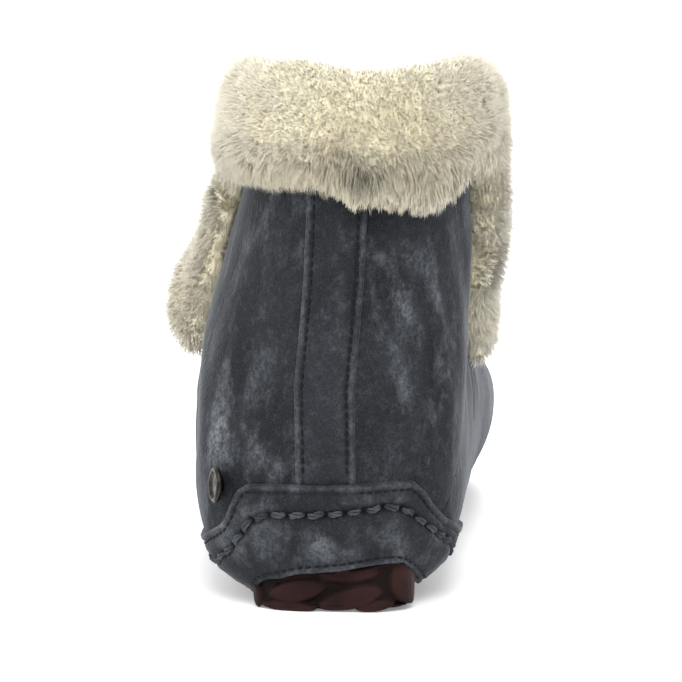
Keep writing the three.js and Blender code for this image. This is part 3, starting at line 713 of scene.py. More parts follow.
# ---------------------------------------------------------------- heel panel
# x and z of the panel's top edge and of the laced row from behind, outer side first
PANEL_EDGE = np.array(
    [
        [38.4, 19.4],
        [35.4, 22.6],
        [32.4, 25.1],
        [31.0, 27.6],
        [30.0, 30.4],
        [28.7, 33.9],
        [27.2, 36.5],
        [25, 38.1],
        [20, 38.7],
        [10, 39.4],
        [0, 39.7],
        [-10, 39.9],
        [-20, 40.1],
        [-24.6, 39.8],
        [-27.6, 37],
        [-30.6, 31.2],
        [-33.4, 26.9],
        [-36, 24.3],
        [-37.6, 21.2],
    ],
    float,
)
CORD_ROW = np.array(
    [
        [33.8, 12.7],
        [29.9, 17.1],
        [26.4, 22.5],
        [23.9, 26.8],
        [18, 29.7],
        [11.8, 30.1],
        [0.6, 30.6],
        [-6.7, 31.4],
        [-17.2, 32.6],
        [-22.5, 31.1],
        [-28.1, 25.6],
        [-31.3, 22.3],
        [-35.2, 17.1],
    ],
    float,
)
PANEL_TURN = 107.0
PANEL_COLUMNS = 331
PANEL_ROWS = 49
PANEL_THICKNESS = 1.35
PANEL_CLEAR = 0.3
PANEL_PITCH, STRIP_PITCH = 2.6, 2.8
# the laced row: from one stitch to the next, from a stitch's middle to its holes, length and radius
CORD_PITCH, CORD_HOLE, CORD_LENGTH, CORD_RADIUS = 5.75, 2.75, 4.9, 1.0


def turned_line(edge, ends):
    """A height for each turn round the heel: through points seen from behind and two points at each end."""
    row, angle = find(across_and_up, edge, 42)
    seen = turn_and_up(suede_point(row, angle))
    left, right = ends
    seen = np.concatenate([left, seen, right])
    order = np.argsort(seen[:, 0])
    turn = np.linspace(-PANEL_TURN, PANEL_TURN, 900)
    height = np.interp(turn, seen[order, 0], seen[order, 1])
    kernel = np.hanning(23) / np.sum(np.hanning(23))
    padded = np.concatenate([np.full(11, height[0]), height, np.full(11, height[-1])])
    return turn, np.convolve(padded, kernel, "valid")


PANEL_ENDS = ([[107, 16.8], [90, 17.4]], [[-90, 19.8], [-107, 19]])
CORD_ENDS = ([[107, 11.6], [88, 11.8], [70, 12]], [[-72, 13.6], [-90, 12.6], [-107, 12.4]])
PANEL_TOP = turned_line(PANEL_EDGE, PANEL_ENDS)
CORD_HEIGHT = turned_line(CORD_ROW, CORD_ENDS)


def panel_foot(turn):
    """Height of the panel's lower edge at each turn: just above the feather line."""
    height = np.full_like(turn, 12.0)
    for _ in range(5):
        row, angle = find(turn_and_up, np.stack([turn, height], -1))
        height = rubber_edge(suede_point(row, angle)) + 0.35
    return height


def on_panel(turn, height, lift):
    """Points above the suede at turns and heights, and the outward normals there."""
    row, angle = find(turn_and_up, np.stack([turn, height], -1))
    normal = suede_normal(row, angle)
    return suede_point(row, angle) + normal * np.asarray(lift)[..., None], normal


def panel_grid():
    """Turns and heights of the panel's grid: even steps along the top, straight lines down to the foot."""
    turn, height = PANEL_TOP
    row, angle = find(turn_and_up, np.stack([turn[::3], height[::3]], -1))
    edge = suede_point(row, angle)
    length = np.concatenate([[0], np.cumsum(np.linalg.norm(np.diff(edge, axis=0), axis=1))])
    turns = np.interp(np.linspace(0, length[-1], PANEL_COLUMNS), length, turn[::3])
    top = np.interp(turns, turn, height)
    foot = panel_foot(turns)
    share = np.linspace(0, 1, PANEL_ROWS)
    heights = top[None, :] + (foot - top)[None, :] * share[:, None]
    return np.stack([np.broadcast_to(turns, heights.shape), heights], -1)


def strip_middle(z):
    """x of the back strip's middle: it wanders a little and leans with the shaft."""
    return np.interp(z, [30, 50, 68, 84, 100, 120, 145], [1.0, 1.2, 1.5, 0.1, -1.2, -2.1, -2.3])


STRIP_HALF = 9.0


def folded_edge(distance, band, height):
    """Section of a turned edge: a rounded lip, a band of full height, a stitched trough, then the flat."""
    lip = np.sqrt(np.clip(1 - (1 - np.clip(distance / 0.9, 0, 1)) ** 2, 0, 1))
    swell = 0.34 * bump_of(distance, band * 0.5, band * 0.42)
    trough = -0.42 * bump_of(distance, band + 0.35, 0.42)
    return height * lip + swell + trough


def stitch_pucker(points, spots, width, depth):
    """Dimples round stitch holes: depth * exp(-(distance to the nearest hole / width)^2)."""
    return depth * np.exp(-((distance_to(points, spots) / width) ** 2))


def stitch_frames(line, normals, pitch, start=0.5):
    """Middles, directions and normals of stitches set at an even pitch along a line."""
    length = np.concatenate([[0], np.cumsum(np.linalg.norm(np.diff(line, axis=0), axis=1))])
    count = max(int(length[-1] / pitch), 1)
    at = (np.arange(count) + start) * length[-1] / count
    middle = np.stack([np.interp(at, length, line[:, k]) for k in range(3)], -1)
    ahead = np.stack([np.interp(at + 0.6, length, line[:, k]) for k in range(3)], -1)
    behind = np.stack([np.interp(at - 0.6, length, line[:, k]) for k in range(3)], -1)
    normal = unit(np.stack([np.interp(at, length, normals[:, k]) for k in range(3)], -1))
    run = unit(ahead - behind)
    normal = unit(normal - run * np.sum(normal * run, -1, keepdims=True))
    return middle, run, normal


def make_panel_line(height_line, lift, offset=0.0):
    """A dense line on the panel that follows a height line, moved down it by offset, with its normals."""
    turn, height = height_line
    turns = np.linspace(-PANEL_TURN + 1.5, PANEL_TURN - 1.5, 420)
    points, normals = on_panel(turns, np.interp(turns, turn, height), np.full(420, lift))
    run = unit(np.gradient(points, axis=0))
    down = np.cross(normals, run)
    down = np.where(down[:, 2:] > 0, -down, down)
    if offset:
        moved = points + down * offset
        seen = turn_and_up(moved)
        points, normals = on_panel(seen[:, 0], seen[:, 1], np.full(420, lift))
    return points, normals


def make_threads(name, frames, half_length, half_width, half_height):
    """Machine stitches: a low bar each, an ellipse swept along a straight that dips at both ends."""
    middle, run, normal = frames
    rings, around = 7, 6
    t = np.linspace(-1, 1, rings)
    a = np.linspace(0, 2 * np.pi, around, endpoint=False)
    girth = np.sqrt(np.clip(1 - 0.97 * t**4, 0.02, 1))
    along = (half_length * t)[:, None] * np.ones(around)
    side = half_width * girth[:, None] * np.cos(a)
    up = half_height * girth[:, None] * np.sin(a) - (0.5 * half_height + 0.25) * (t**4)[:, None]
    across = np.cross(normal, run)
    points = (
        middle[:, None, None]
        + along[..., None] * run[:, None, None]
        + side[..., None] * across[:, None, None]
        + up[..., None] * normal[:, None, None]
    )
    count = len(middle)
    one = grid_faces(rings, around, wrap=True)
    ends = np.array([[0, 1, 2, 3], [0, 3, 4, 5]])
    ends = np.concatenate([ends, (ends + (rings - 1) * around)[:, ::-1]])
    each = np.concatenate([one[:, ::-1], ends[:, ::-1]])
    faces = (each[None] + (np.arange(count) * rings * around)[:, None, None]).reshape(-1, 4)
    return make_piece(name, points.reshape(-1, 3), [faces], MACHINE_THREAD)


def make_cord_stitches(name, frames, length, radius):
    """Heavy hand stitches: three flat plies side by side, slightly twisted, arched and sunk at both ends."""
    middle, run, normal = frames
    rng = np.random.default_rng(21)
    count, rings, around = len(middle), 13, 7
    t = np.linspace(-1, 1, rings)
    a = np.linspace(0, 2 * np.pi, around, endpoint=False)
    across = np.cross(normal, run)
    lean = rng.uniform(-0.12, 0.12, (count, 1)) + 0.1
    run = unit(run + lean * across)
    across = np.cross(normal, run)
    size = rng.uniform(0.9, 1.1, (count, 1, 1, 1))
    first = rng.uniform(0, 2 * np.pi, (count, 1, 1, 1))
    ply = (np.arange(3) * 2 * np.pi / 3)[None, :, None, None]
    twist = first + ply + 1.5 * t[None, None, :, None]
    thin = np.sqrt(np.clip(1 - 0.75 * np.abs(t) ** 3, 0.1, 1))[None, None, :, None]
    reach = radius * 0.62 * thin
    fat = radius * 0.46 * thin
    side = reach * np.cos(twist) + fat * np.cos(a)
    arch = radius * (0.72 - 1.75 * np.abs(t) ** 2.6)[None, None, :, None]
    up = reach * np.sin(twist) * 0.5 + fat * np.sin(a) * 0.9 + arch
    along = np.broadcast_to((length / 2) * t[None, None, :, None] * size, side.shape)
    points = (
        middle[:, None, None, None]
        + along[..., None] * run[:, None, None, None]
        + (side * size)[..., None] * across[:, None, None, None]
        + up[..., None] * normal[:, None, None, None]
    )
    one = grid_faces(rings, around, wrap=True)[:, ::-1]
    tubes = (one[None] + (np.arange(count * 3) * rings * around)[:, None, None]).reshape(-1, 4)
    starts = np.arange(count * 3)[:, None, None] * rings * around
    cap = np.array([[0, 1, 2], [0, 2, 3], [0, 3, 4], [0, 4, 5], [0, 5, 6]])
    caps = np.concatenate([(cap[None] + starts), (cap[:, ::-1][None] + starts + (rings - 1) * around)])
    tone = rng.uniform(0, 1, (count, 1, 1, 1)) * np.ones(side.shape)
    turnings = np.broadcast_to(a / 6.283 + 0.8 * t[:, None], side.shape)
    values = {"tone": tone, "ply": turnings}
    faces = [tubes, caps.reshape(-1, 3)[:, ::-1]]
    return make_piece(name, points.reshape(-1, 3), faces, CORD_THREAD, values)


def thread_finish(name, colour, dark):
    """Waxed thread: a slow change of tone and a fine twist of fibres."""
    material, shader = new_material(name, colour, 0.75)
    shader.inputs["Specular IOR Level"].default_value = 0.25
    at = place(material)
    fibres = noise(material, at, 2400, 2, 0.6)
    slow = noise(material, at, 160, 2, 0.5)
    tone = mix(material, ramp(material, slow, 0.35, 0.65), dark, colour)
    tone = mix(material, ramp(material, fibres, 0.3, 0.7, 0, 0.6), tone, dark)
    link(material, tone, shader.inputs["Base Color"])
    bump(material, shader, fibres, 0.0003, 0.8)
    return material


MACHINE_THREAD = thread_finish("dark_thread", (0.0065, 0.0065, 0.008), (0.003, 0.003, 0.004))
CORD_THREAD = thread_finish("waxed_cord", (0.085, 0.096, 0.105), (0.028, 0.031, 0.035))


def make_heel_panel():
    """The heel panel: a skin over the suede with turned edges and a pucker along the laced row."""
    wanted = panel_grid()
    row, angle = sweep(turn_and_up, wanted)
    points, normals = suede_point(row, angle), suede_normal(row, angle)
    top_line, foot_line = points[0], points[-1]
    ends = np.concatenate([points[:, 0], points[:, -1]])
    from_top = distance_to(points, np.concatenate([spaced(top_line, 900), ends]))
    from_foot = distance_to(points, spaced(foot_line, 700))
    cord_line, cord_normals = make_panel_line(CORD_HEIGHT, 0.0)
    cord = stitch_frames(cord_line, cord_normals, CORD_PITCH)
    holes = np.concatenate([cord[0] + cord[1] * CORD_HOLE, cord[0] - cord[1] * CORD_HOLE])
    from_cord = distance_to(points, spaced(cord_line, 900))
    lift = folded_edge(from_top, 2.3, PANEL_THICKNESS)
    foot = folded_edge(from_foot, 1.9, PANEL_THICKNESS) - PANEL_THICKNESS
    lift = lift + foot * smooth(from_top, 1.5, 4)
    lift = lift - 0.42 * bump_of(from_cord, 0, 1.15) + 0.34 * bump_of(from_cord, 2.9, 1.3)
    dimples = stitch_pucker(points, holes, 0.95, 1.0)
    lift = lift - 1.1 * dimples
    over_strip = smooth(np.abs(points[..., 0] - strip_middle(40.0)), 11.2, 8.6)
    lift = lift + 0.75 * over_strip * (1 - smooth(from_top, 4.5, 9)) * (from_top > 0.01)
    lift = lift + 0.12 * lattice_noise(points, 8, 5) + 0.10 * lattice_noise(points, 3.4, 6)
    lift = np.maximum(lift, 0.0) + PANEL_CLEAR
    lift[0] = lift[-1] = PANEL_CLEAR
    lift[:, 0] = lift[:, -1] = PANEL_CLEAR
    outer = points + normals * lift[..., None]
    inner = points + normals * (PANEL_CLEAR - 0.25)
    # pale: the listed worn patches, paler along the turned lips, and a painted highlight on the swell beside
    # the laced row
    pale = strokes(points, PANEL_PALE)
    pale = pale + 0.42 * bump_of(from_top, 1.0, 0.9) + 0.3 * bump_of(from_foot, 0.9, 0.8)
    pale = pale + 0.12 * bump_of(from_cord, 2.9, 1.6)
    # dark: painted shade in the dimples round the stitch holes, in the stitched troughs below the top edge
    # and above the foot, and along the laced row
    dark = 1.5 * stitch_pucker(points, holes, 0.95, 1.0) + 0.2 * bump_of(from_top, 2.65, 0.5)
    dark = dark + 0.3 * bump_of(from_foot, 2.25, 0.5) + 0.5 * bump_of(from_cord, 0, 0.9)
    piece = make_skin("heel_panel_skin", outer, inner, normals, pale, dark)
    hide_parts("heel_panel")
    lifted = (cord[0] + cord[2] * (PANEL_CLEAR + PANEL_THICKNESS - 0.35), cord[1], cord[2])
    make_cord_stitches("cord_stitches", lifted, CORD_LENGTH, CORD_RADIUS)
    seat = PANEL_CLEAR + PANEL_THICKNESS - 0.2
    top = make_panel_line(PANEL_TOP, seat, 2.65)
    make_threads("panel_top_stitches", stitch_frames(*top, PANEL_PITCH), 1.0, 0.42, 0.3)
    bottom = make_panel_line((wanted[-1, :, 0], wanted[-1, :, 1] + 2.25), seat)
    make_threads("panel_foot_stitches", stitch_frames(*bottom, PANEL_PITCH), 1.0, 0.42, 0.3)


def make_skin(name, outer, inner, normals, pale, dark):
    """A closed skin between two grids of the same size, with its pale share (worn nap, paler lips and a
    painted highlight) and its dark share of painted shade.
    """
    rows, columns = outer.shape[:2]
    plain = grid_faces(rows, columns)
    face = turned(outer.reshape(-1, 3), plain, normals.reshape(-1, 3))
    rim = rim_faces(rows, columns)
    if not np.array_equal(face, plain):
        rim = rim[:, ::-1]
    both = np.concatenate([outer.reshape(-1, 3), inner.reshape(-1, 3)])
    faces = [face, face[:, ::-1] + rows * columns, rim]
    values = {"pale": np.tile(pale.ravel(), 2), "dark": np.clip(np.tile(dark.ravel(), 2), 0, 1)}
    return make_piece(name, both, faces, PANEL_SUEDE, values)


def rim_faces(rows, columns):
    """Faces that join the borders of two grids of the same size, the second grid numbered after the first."""
    index = np.arange(rows * columns).reshape(rows, columns)
    loop = np.concatenate([index[0, :-1], index[:-1, -1], index[-1, :0:-1], index[:0:-1, 0]])
    ahead = np.roll(loop, -1)
    behind = rows * columns
    return np.stack([loop, ahead, ahead + behind, loop + behind], -1)


PANEL_PALE = [
    [6, 0, 24, 0, 0, 19, 3.5, 0.55],
    [2, 0, 21, 8, 1, 17, 3, 0.4],
    [-12, 2, 25, -19, 4, 22, 3, 0.5],
    [-22, 8, 18, -27, 12, 14, 4, 0.35],
    [24, 8, 30, 28, 12, 24, 3, 0.3],
    [33, 18, 24, 27, 9, 19, 4.5, 0.4],
    [14, 2, 24, 20, 5, 20, 2.5, 0.3],
    [-4, 0, 36, -16, 2, 35, 2.5, 0.25],
    [-30, 14, 22, -34, 20, 17, 0.5, 0.9],
]


# ---------------------------------------------------------------- back strip
def make_back_strip():
    """The back strip: a band up the heel with turned, stitched edges; its foot goes under the heel panel."""
    rows, columns = 180, 45
    z = np.linspace(37.2, 133.5, rows)[:, None]
    t = np.linspace(-1, 1, columns)
    t = np.sign(t) * (1 - (1 - np.abs(t)) ** 1.25)
    x = strip_middle(z) + STRIP_HALF * t[None, :]
    wanted = np.stack([x, np.broadcast_to(z, x.shape)], -1)
    row, angle = sweep(across_and_up, wanted, 42)
    points, normals = suede_point(row, angle), suede_normal(row, angle)
    from_edge = STRIP_HALF * (1 - np.abs(t))[None, :] * np.ones_like(z)
    lift = folded_edge(from_edge, 2.1, 1.05)
    lift = lift + 0.1 * lattice_noise(points, 9, 7)
    lift = lift + 0.12 * lattice_noise(points, 3.0, 8) * smooth(from_edge, 0.5, 3)
    lift = lift * smooth(z, 36.5, 39.5) * 0.65 + lift * 0.35 * smooth(z, 39, 42.5)
    lift = np.maximum(lift, 0.05) + PANEL_CLEAR
    lift[:, 0] = lift[:, -1] = PANEL_CLEAR
    outer = points + normals * lift[..., None]
    inner = points + normals * 0.05
    # pale: paler along the turned lips and the listed worn streaks; dark: painted shade in the stitched
    # troughs and where the strip's foot goes under the heel panel
    pale = 0.4 * bump_of(from_edge, 1.0, 0.8) + strokes(points, STRIP_PALE)
    dark = 0.22 * bump_of(from_edge, 2.5, 0.5) + 0.35 * (1 - smooth(z, 40, 41.5)) * np.ones_like(x)
    piece = make_skin("back_strip_skin", outer, inner, normals, pale, dark)
    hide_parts("back_strip")
    for name, side in (("strip_outer_stitches", 1), ("strip_inner_stitches", -1)):
        height = np.linspace(42.5, 132, 200)
        line_x = strip_middle(height) + side * (STRIP_HALF - 2.45)
        row, angle = find(across_and_up, np.stack([line_x, height], -1), 42)
        normal = suede_normal(row, angle)
        line = suede_point(row, angle) + normal * (PANEL_CLEAR + 1.05 - 0.08)
        make_threads(name, stitch_frames(line, normal, STRIP_PITCH), 1.05, 0.45, 0.34)


STRIP_PALE = [
    [2, 0, 60, 0, 1, 84, 2.5, 0.2],
    [5, 1, 84, 4, 2, 96, 2, 0.2],
    [-3, 3, 100, -5, 6, 116, 2.5, 0.2],
]

make_heel_panel()
make_back_strip()

# ---------------------------------------------------------------- the sole
SOLE_STEPS = 260
FLANK_STEPS = 22
TREAD_COLUMNS = 57
LUG_DEPTH = 2.0
# how far the rubber stands out beside the heel, how full it is behind, how deep its grooves are there
HEEL_FLARE, HEEL_BELLY, HEEL_GROOVE = 1.5, 1.7, 1.9
# pads on the rolled-up back of the sole: x, height, length, width, tilt in degrees
HEEL_PADS = [
    [9.8, 6.2, 18.5, 7.2, -11],
    [12.6, 0.9, 18, 3.8, 2],
    [-6.6, 3.9, 21, 6.6, -15],
    [-6.0, 11.4, 19, 5.2, -4],
    [-14.2, 1.6, 12.5, 3.6, -9],
    [-23.2, 7.4, 14, 8.4, 62],
    [23.5, 3.4, 9, 5.0, 70],
]
LUG_START, LUG_SPACING, LUG_ROWS = 19, 15, 16
LUG_WIDTH, LUG_TILT = 10.6, 24


def feather_side(row, side):
    """A point of the feather line on one side at each row."""
    return suede_point(row, side * feather_angle(row, side))


def sole_rim(steps, inset, flare_out=1.5):
    """The sole's rim, a closed loop of plan points from the toe down the outer side and up the inner one,
    moved outward by flare_out times the lean of the leather's edge."""
    row = TOE_END + (HEEL_END - TOE_END) * (1 - np.cos(np.pi * np.arange(steps + 1) / steps)) / 2
    outer, inner = feather_side(row, 1), feather_side(row, -1)
    for side, line in ((1, outer), (-1, inner)):
        s = -line[:, 1]
        line[:, 0] += side * HEEL_FLARE * smooth(s, 3, 9) * (1 - smooth(s, 26, 60))
    loop = np.concatenate([outer, inner[-2:0:-1]])
    loop[:, 2] = 0
    run = unit(np.roll(loop, -1, 0) - np.roll(loop, 1, 0))
    inward = np.stack([-run[:, 1], run[:, 0], np.zeros(len(run))], -1)
    lean = np.maximum(rubber_edge(loop) - feather_height(-loop[:, 1]), 0)
    return loop + inward * (inset - flare_out * lean)[:, None], inward


def leaf_mask(u, v, table, soft=0.5):
    """1 inside leaf-shaped pads, 0 outside. A leaf's half width at a along its spine is
    width / 2 * cos(pi a / length)^0.6, compared with the distance b from the spine."""
    total = np.zeros(np.broadcast(u, v).shape)
    for x, up, length, width, tilt in table:
        c, s = np.cos(np.radians(tilt)), np.sin(np.radians(tilt))
        a = (u - x) * c + (v - up) * s
        b = -(u - x) * s + (v - up) * c
        half = width / 2 * np.maximum(np.cos(np.pi * np.clip(a / length, -0.5, 0.5)), 0) ** 0.6
        inside = smooth(half - np.abs(b), -soft, soft) * smooth(length / 2 - np.abs(a), -soft, soft)
        total = np.maximum(total, inside)
    return total


def tread_table(rim):
    """The tread's lugs: two leaves a row, tilted forward to a middle that steps from side to side."""
    table = []
    half = len(rim) // 2
    outer, inner = rim[: half + 1], np.concatenate([rim[:1], rim[:half - 1:-1]])
    for i in range(LUG_ROWS):
        s = LUG_START + LUG_SPACING * i
        right = np.interp(s, -outer[::-1, 1], outer[::-1, 0])
        left = np.interp(s, -inner[::-1, 1], inner[::-1, 0])
        middle = (right + left) / 2 + (4 if i % 2 else -4)
        table.append([(right + middle) / 2, s, (right - middle) * 1.04, LUG_WIDTH, -LUG_TILT])
        table.append([(left + middle) / 2, s, (middle - left) * 1.04, LUG_WIDTH, LUG_TILT])
    return table


def sole_top(points):
    """Height of the rim, just under the feather line."""
    return rubber_edge(points) - 0.15


def make_outsole():
    """The sole: rounded flanks from rim to tread, lugs and pads raised from them, and a flat upper face."""
    rim, inward = sole_rim(SOLE_STEPS, 0.6)
    s_rim = -rim[:, 1]
    flank = 3.4 - 2.3 * np.exp(-((np.maximum(s_rim - 2.5, 0) / 8) ** 2)) + 4 * smooth(s_rim, 222, 252)
    phi = (np.linspace(0, 1, FLANK_STEPS) * np.pi / 2)[None, :]
    plan = rim[:, None] + inward[:, None] * (flank[:, None] * (1 - np.cos(phi)))[..., None]
    top, low = sole_top(rim)[:, None], tread_lift(-plan[..., 1])
    side = plan.copy()
    side[..., 2] = top - (top - low) * np.sin(phi)
    belly = HEEL_BELLY * np.sin(phi) ** 2 * (1 - smooth(s_rim, 8, 26))[:, None]
    side[..., :2] -= inward[:, None, :2] * belly[..., None]
    level = np.maximum(top - low, 1)
    sideways = -inward[:, None] * (np.cos(phi) / flank[:, None])[..., None]
    outward = unit(sideways + np.array([0, 0, -1]) * (np.sin(phi) / level)[..., None])
    lugs = tread_table(rim)
    heel_zone = 1 - smooth(s_rim, 17, 24)[:, None]
    pads = leaf_mask(side[..., 0], side[..., 2], HEEL_PADS, 0.7)
    tread_pads = leaf_mask(side[..., 0], -side[..., 1], lugs)
    fade = smooth(phi, 0.25, 0.8) * np.ones_like(pads)
    rim_band = smooth(phi, 0.02, 0.12)
    depth = heel_zone * HEEL_GROOVE * (1 - pads) * rim_band
    depth = depth + (1 - heel_zone) * LUG_DEPTH * (1 - tread_pads) * fade
    side = side - outward * depth[..., None]
    half = SOLE_STEPS
    edge = side[:, -1]
    outer = edge[: half + 1]
    inner = np.concatenate([edge[:1], edge[:half - 1:-1]])
    share = np.linspace(0, 1, TREAD_COLUMNS)[None, :, None]
    tread = outer[:, None] * (1 - share) + inner[:, None] * share
    mask = leaf_mask(tread[..., 0], -tread[..., 1], lugs)
    tread[..., 2] = tread_lift(-tread[..., 1]) + LUG_DEPTH * (1 - mask)
    tread[:, 0], tread[:, -1] = outer, inner
    count = len(rim)
    flank_faces = grid_faces(count, FLANK_STEPS)
    wrap = np.arange(FLANK_STEPS - 1)
    last = (count - 1) * FLANK_STEPS
    joint = np.stack([last + wrap, wrap, wrap + 1, last + wrap + 1], -1)
    flank_faces = np.concatenate([flank_faces, joint])
    down = np.broadcast_to([0, 0, -1.0], tread.reshape(-1, 3).shape)
    flank_faces = turned(side.reshape(-1, 3), flank_faces, outward.reshape(-1, 3))
    tread_faces = turned(tread.reshape(-1, 3), grid_faces(half + 1, TREAD_COLUMNS), down)
    upper = side[:, 0]
    lid = np.concatenate([upper[: half + 1], upper[:1], upper[:half - 1:-1]])
    k = np.arange(half)
    lid_faces = np.stack([k, k + 1, half + 2 + k, half + 1 + k], -1)
    lid_faces = turned(lid, lid_faces, np.broadcast_to([0, 0, 1.0], lid.shape))
    first, second = side.size // 3, side.size // 3 + tread.size // 3
    points = np.concatenate([side.reshape(-1, 3), tread.reshape(-1, 3), lid])
    points, faces = weld(points, [flank_faces, tread_faces + first, lid_faces + second])
    worn = np.clip(1 - (points[:, 2] - tread_lift(-points[:, 1])) / 1.2, 0, 1)
    # painted shade: the sunken gaps round the pads on the heel's rolled-up back
    painted_groove_shade = 1 - leaf_mask(points[:, 0], points[:, 2], HEEL_PADS, 0.9)
    painted_groove_shade = painted_groove_shade * (1 - smooth(-points[:, 1], 17, 24))
    piece = make_piece("rubber_sole", points, faces, RUBBER, {"worn": worn, "painted_groove_shade": painted_groove_shade})
    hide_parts("outsole")


def weld(points, faces):
    """Joins points within a hundredth of a millimetre and makes shrunken four-cornered faces triangles."""
    _, first, where = np.unique(np.round(points, 2), axis=0, return_index=True, return_inverse=True)
    where = where.ravel()
    out = []
    for group in faces:
        group = where[group]
        if group.shape[1] == 4:
            same = np.stack([group[:, i] == group[:, (i + 1) % 4] for i in range(4)], -1)
            out.append(group[~same.any(1)])
            for i in range(4):
                rows = group[same[:, i] & (same.sum(1) == 1)]
                out.append(rows[:, [k for k in range(4) if k != i]])
        else:
            good = (group[:, 0] != group[:, 1]) & (group[:, 1] != group[:, 2]) & (group[:, 0] != group[:, 2])
            out.append(group[good])
    return points[first], [g for g in out if len(g)]


def rubber_finish():
    """Dark red-brown rubber: a soft sheen, a fine moulded grain, paler worn pads and painted shade, nearly
    black, between the pads on the back of the heel.
    """
    material, shader = new_material("red_brown_rubber", (0.022, 0.0085, 0.008), 0.55)
    shader.inputs["Specular IOR Level"].default_value = 0.1
    at = place(material)
    slow = noise(material, at, 55, 3, 0.5)
    fine = noise(material, at, 1400, 2, 0.5)
    tone = mix(material, ramp(material, slow, 0.35, 0.65), (0.014, 0.005, 0.005), (0.027, 0.0105, 0.0095))
    scuffs = ramp(material, fine, 0.3, 0.7, 0.1, 0.4)
    worn = maths(material, "MULTIPLY", attribute(material, "worn"), scuffs)
    tone = mix(material, worn, tone, (0.06, 0.038, 0.034))
    # painted shade between the heel pads, blended toward near black
    painted_groove_shade = ramp(material, attribute(material, "painted_groove_shade"), 0, 1, 0, 0.75)
    tone = mix(material, painted_groove_shade, tone, (0.004, 0.002, 0.002))
    link(material, tone, shader.inputs["Base Color"])
    link(material, ramp(material, fine, 0.3, 0.7, 0.48, 0.68), shader.inputs["Roughness"])
    bump(material, shader, fine, 0.0002, 0.5)
    return material


RUBBER = rubber_finish()
make_outsole()

# ---------------------------------------------------------------- wool
WOOL_FROM, WOOL_FULL, SKIN, WALL = 4, 14, 2.4, 9
CUFF_WOOL, CUFF_END, THROAT_GAP = 13.8, 9, 0.5
# from the middle of the back to a lapel's end: share, rise, outer drop, depth, inner drop, depth
CUFF_COURSE = np.array(
    [
        [0, 16, 29, 1, 29, 1],
        [0.45, 10.5, 29, 1, 31, 1],
        [0.66, 9, 31, 0.7, 45, 1.12],
        [0.8, 9, 38, 0.95, 55, 1.32],
        [1, 9, 57, 1.6, 58, 1.1],
    ]
)
# round the cuff's section: share of the drop (of the rise where negative), share of the wool's depth
CUFF_SECTION = np.array(
    [
        [0.1, -0.85],
        [-0.55, -0.75],
        [-0.9, -0.5],
        [-1, -0.1],
        [-0.88, 0.34],
        [-0.48, 0.7],
        [0.05, 0.92],
        [0.28, 1],
        [0.52, 1],
        [0.73, 0.92],
        [0.89, 0.7],
        [1, 0.32],
        [0.98, -0.08],
        [0.7, -0.15],
        [0.35, -0.15],
    ]
)
CUFF_MIDDLE = np.array([0.36, 0.3])
# how much further down the cuff's lower edge hangs: share of the way, millimetres
CUFF_EDGE = np.array(
    [
        [-0.5, 0],
        [-0.42, -3],
        [-0.34, -7.5],
        [-0.28, -8.5],
        [-0.23, -7.5],
        [-0.17, -3],
        [-0.11, -0.5],
        [-0.05, -2],
        [0.0, -3],
        [0.05, -5.4],
        [0.1, -5],
        [0.16, -2.6],
        [0.3, -1],
        [0.42, 0],
    ]
)
# humps and a dip of the cuff's top: height, share of the way, width
CUFF_HUMPS = [[2.6, 0.12, 0.09], [2.6, -0.27, 0.1], [-1.6, -0.06, 0.1]]
CUFF_STATIONS = 141
CUFF_AROUND = 60
CAP_STEPS = 7
STRAND_ROOM = 3.2
CUFF_STRANDS, HANGING_STRANDS, LINING_STRANDS = 78000, 3000, 9000
THROAT_STRANDS, FOOTBED_STRANDS = 700, 2600
LINING_ROWS, LINING_BACK_ROWS, LINING_COLUMNS = 97, 25, 109
FOOTBED_INSET = 2.8


def fold_row(angle):
    """Row of the fold at each angle."""
    low, high = np.full_like(angle, FOLD_FIRST_ROW), np.full_like(angle, FOLD_LAST_ROW)
    return bisect(lambda row: -below_fold(suede_point(row, angle)), low, high, 24)


def past_throat(points):
    """How far points lie past the lower end of the fold."""
    return (np.stack([-points[..., 1], points[..., 2]], -1) - FOLD_END) @ FOLD_RUN


def course_at(share, side):
    """Rise, drop and depth of the cuff at shares of the way to a lapel's end, blended between its rows."""
    share = np.clip(np.abs(share), 0, 1)
    i = np.clip(np.searchsorted(CUFF_COURSE[:, 0], share, side="right") - 1, 0, len(CUFF_COURSE) - 2)
    before, after = CUFF_COURSE[i], CUFF_COURSE[i + 1]
    t = smooth((share - before[:, 0]) / (after[:, 0] - before[:, 0]), 0, 1)
    value = before + (after - before) * t[:, None]
    inner = side < 0
    drop = np.where(inner, value[:, 4], value[:, 2])
    return value[:, 1], drop, CUFF_WOOL * np.where(inner, value[:, 5], value[:, 3])


def section_loop(count):
    """The cuff's section as a closed Catmull-Rom curve."""
    corners = len(CUFF_SECTION)
    u = np.arange(count) * corners / count
    i = np.floor(u).astype(int)
    t = (u - i)[:, None]
    a, b, c, d = (CUFF_SECTION[(i + k) % corners] for k in (-1, 0, 1, 2))
    return 0.5 * (2 * b + (c - a) * t + (2 * a - 5 * b + 4 * c - d) * t**2 + (3 * b - a - 3 * c + d) * t**3)


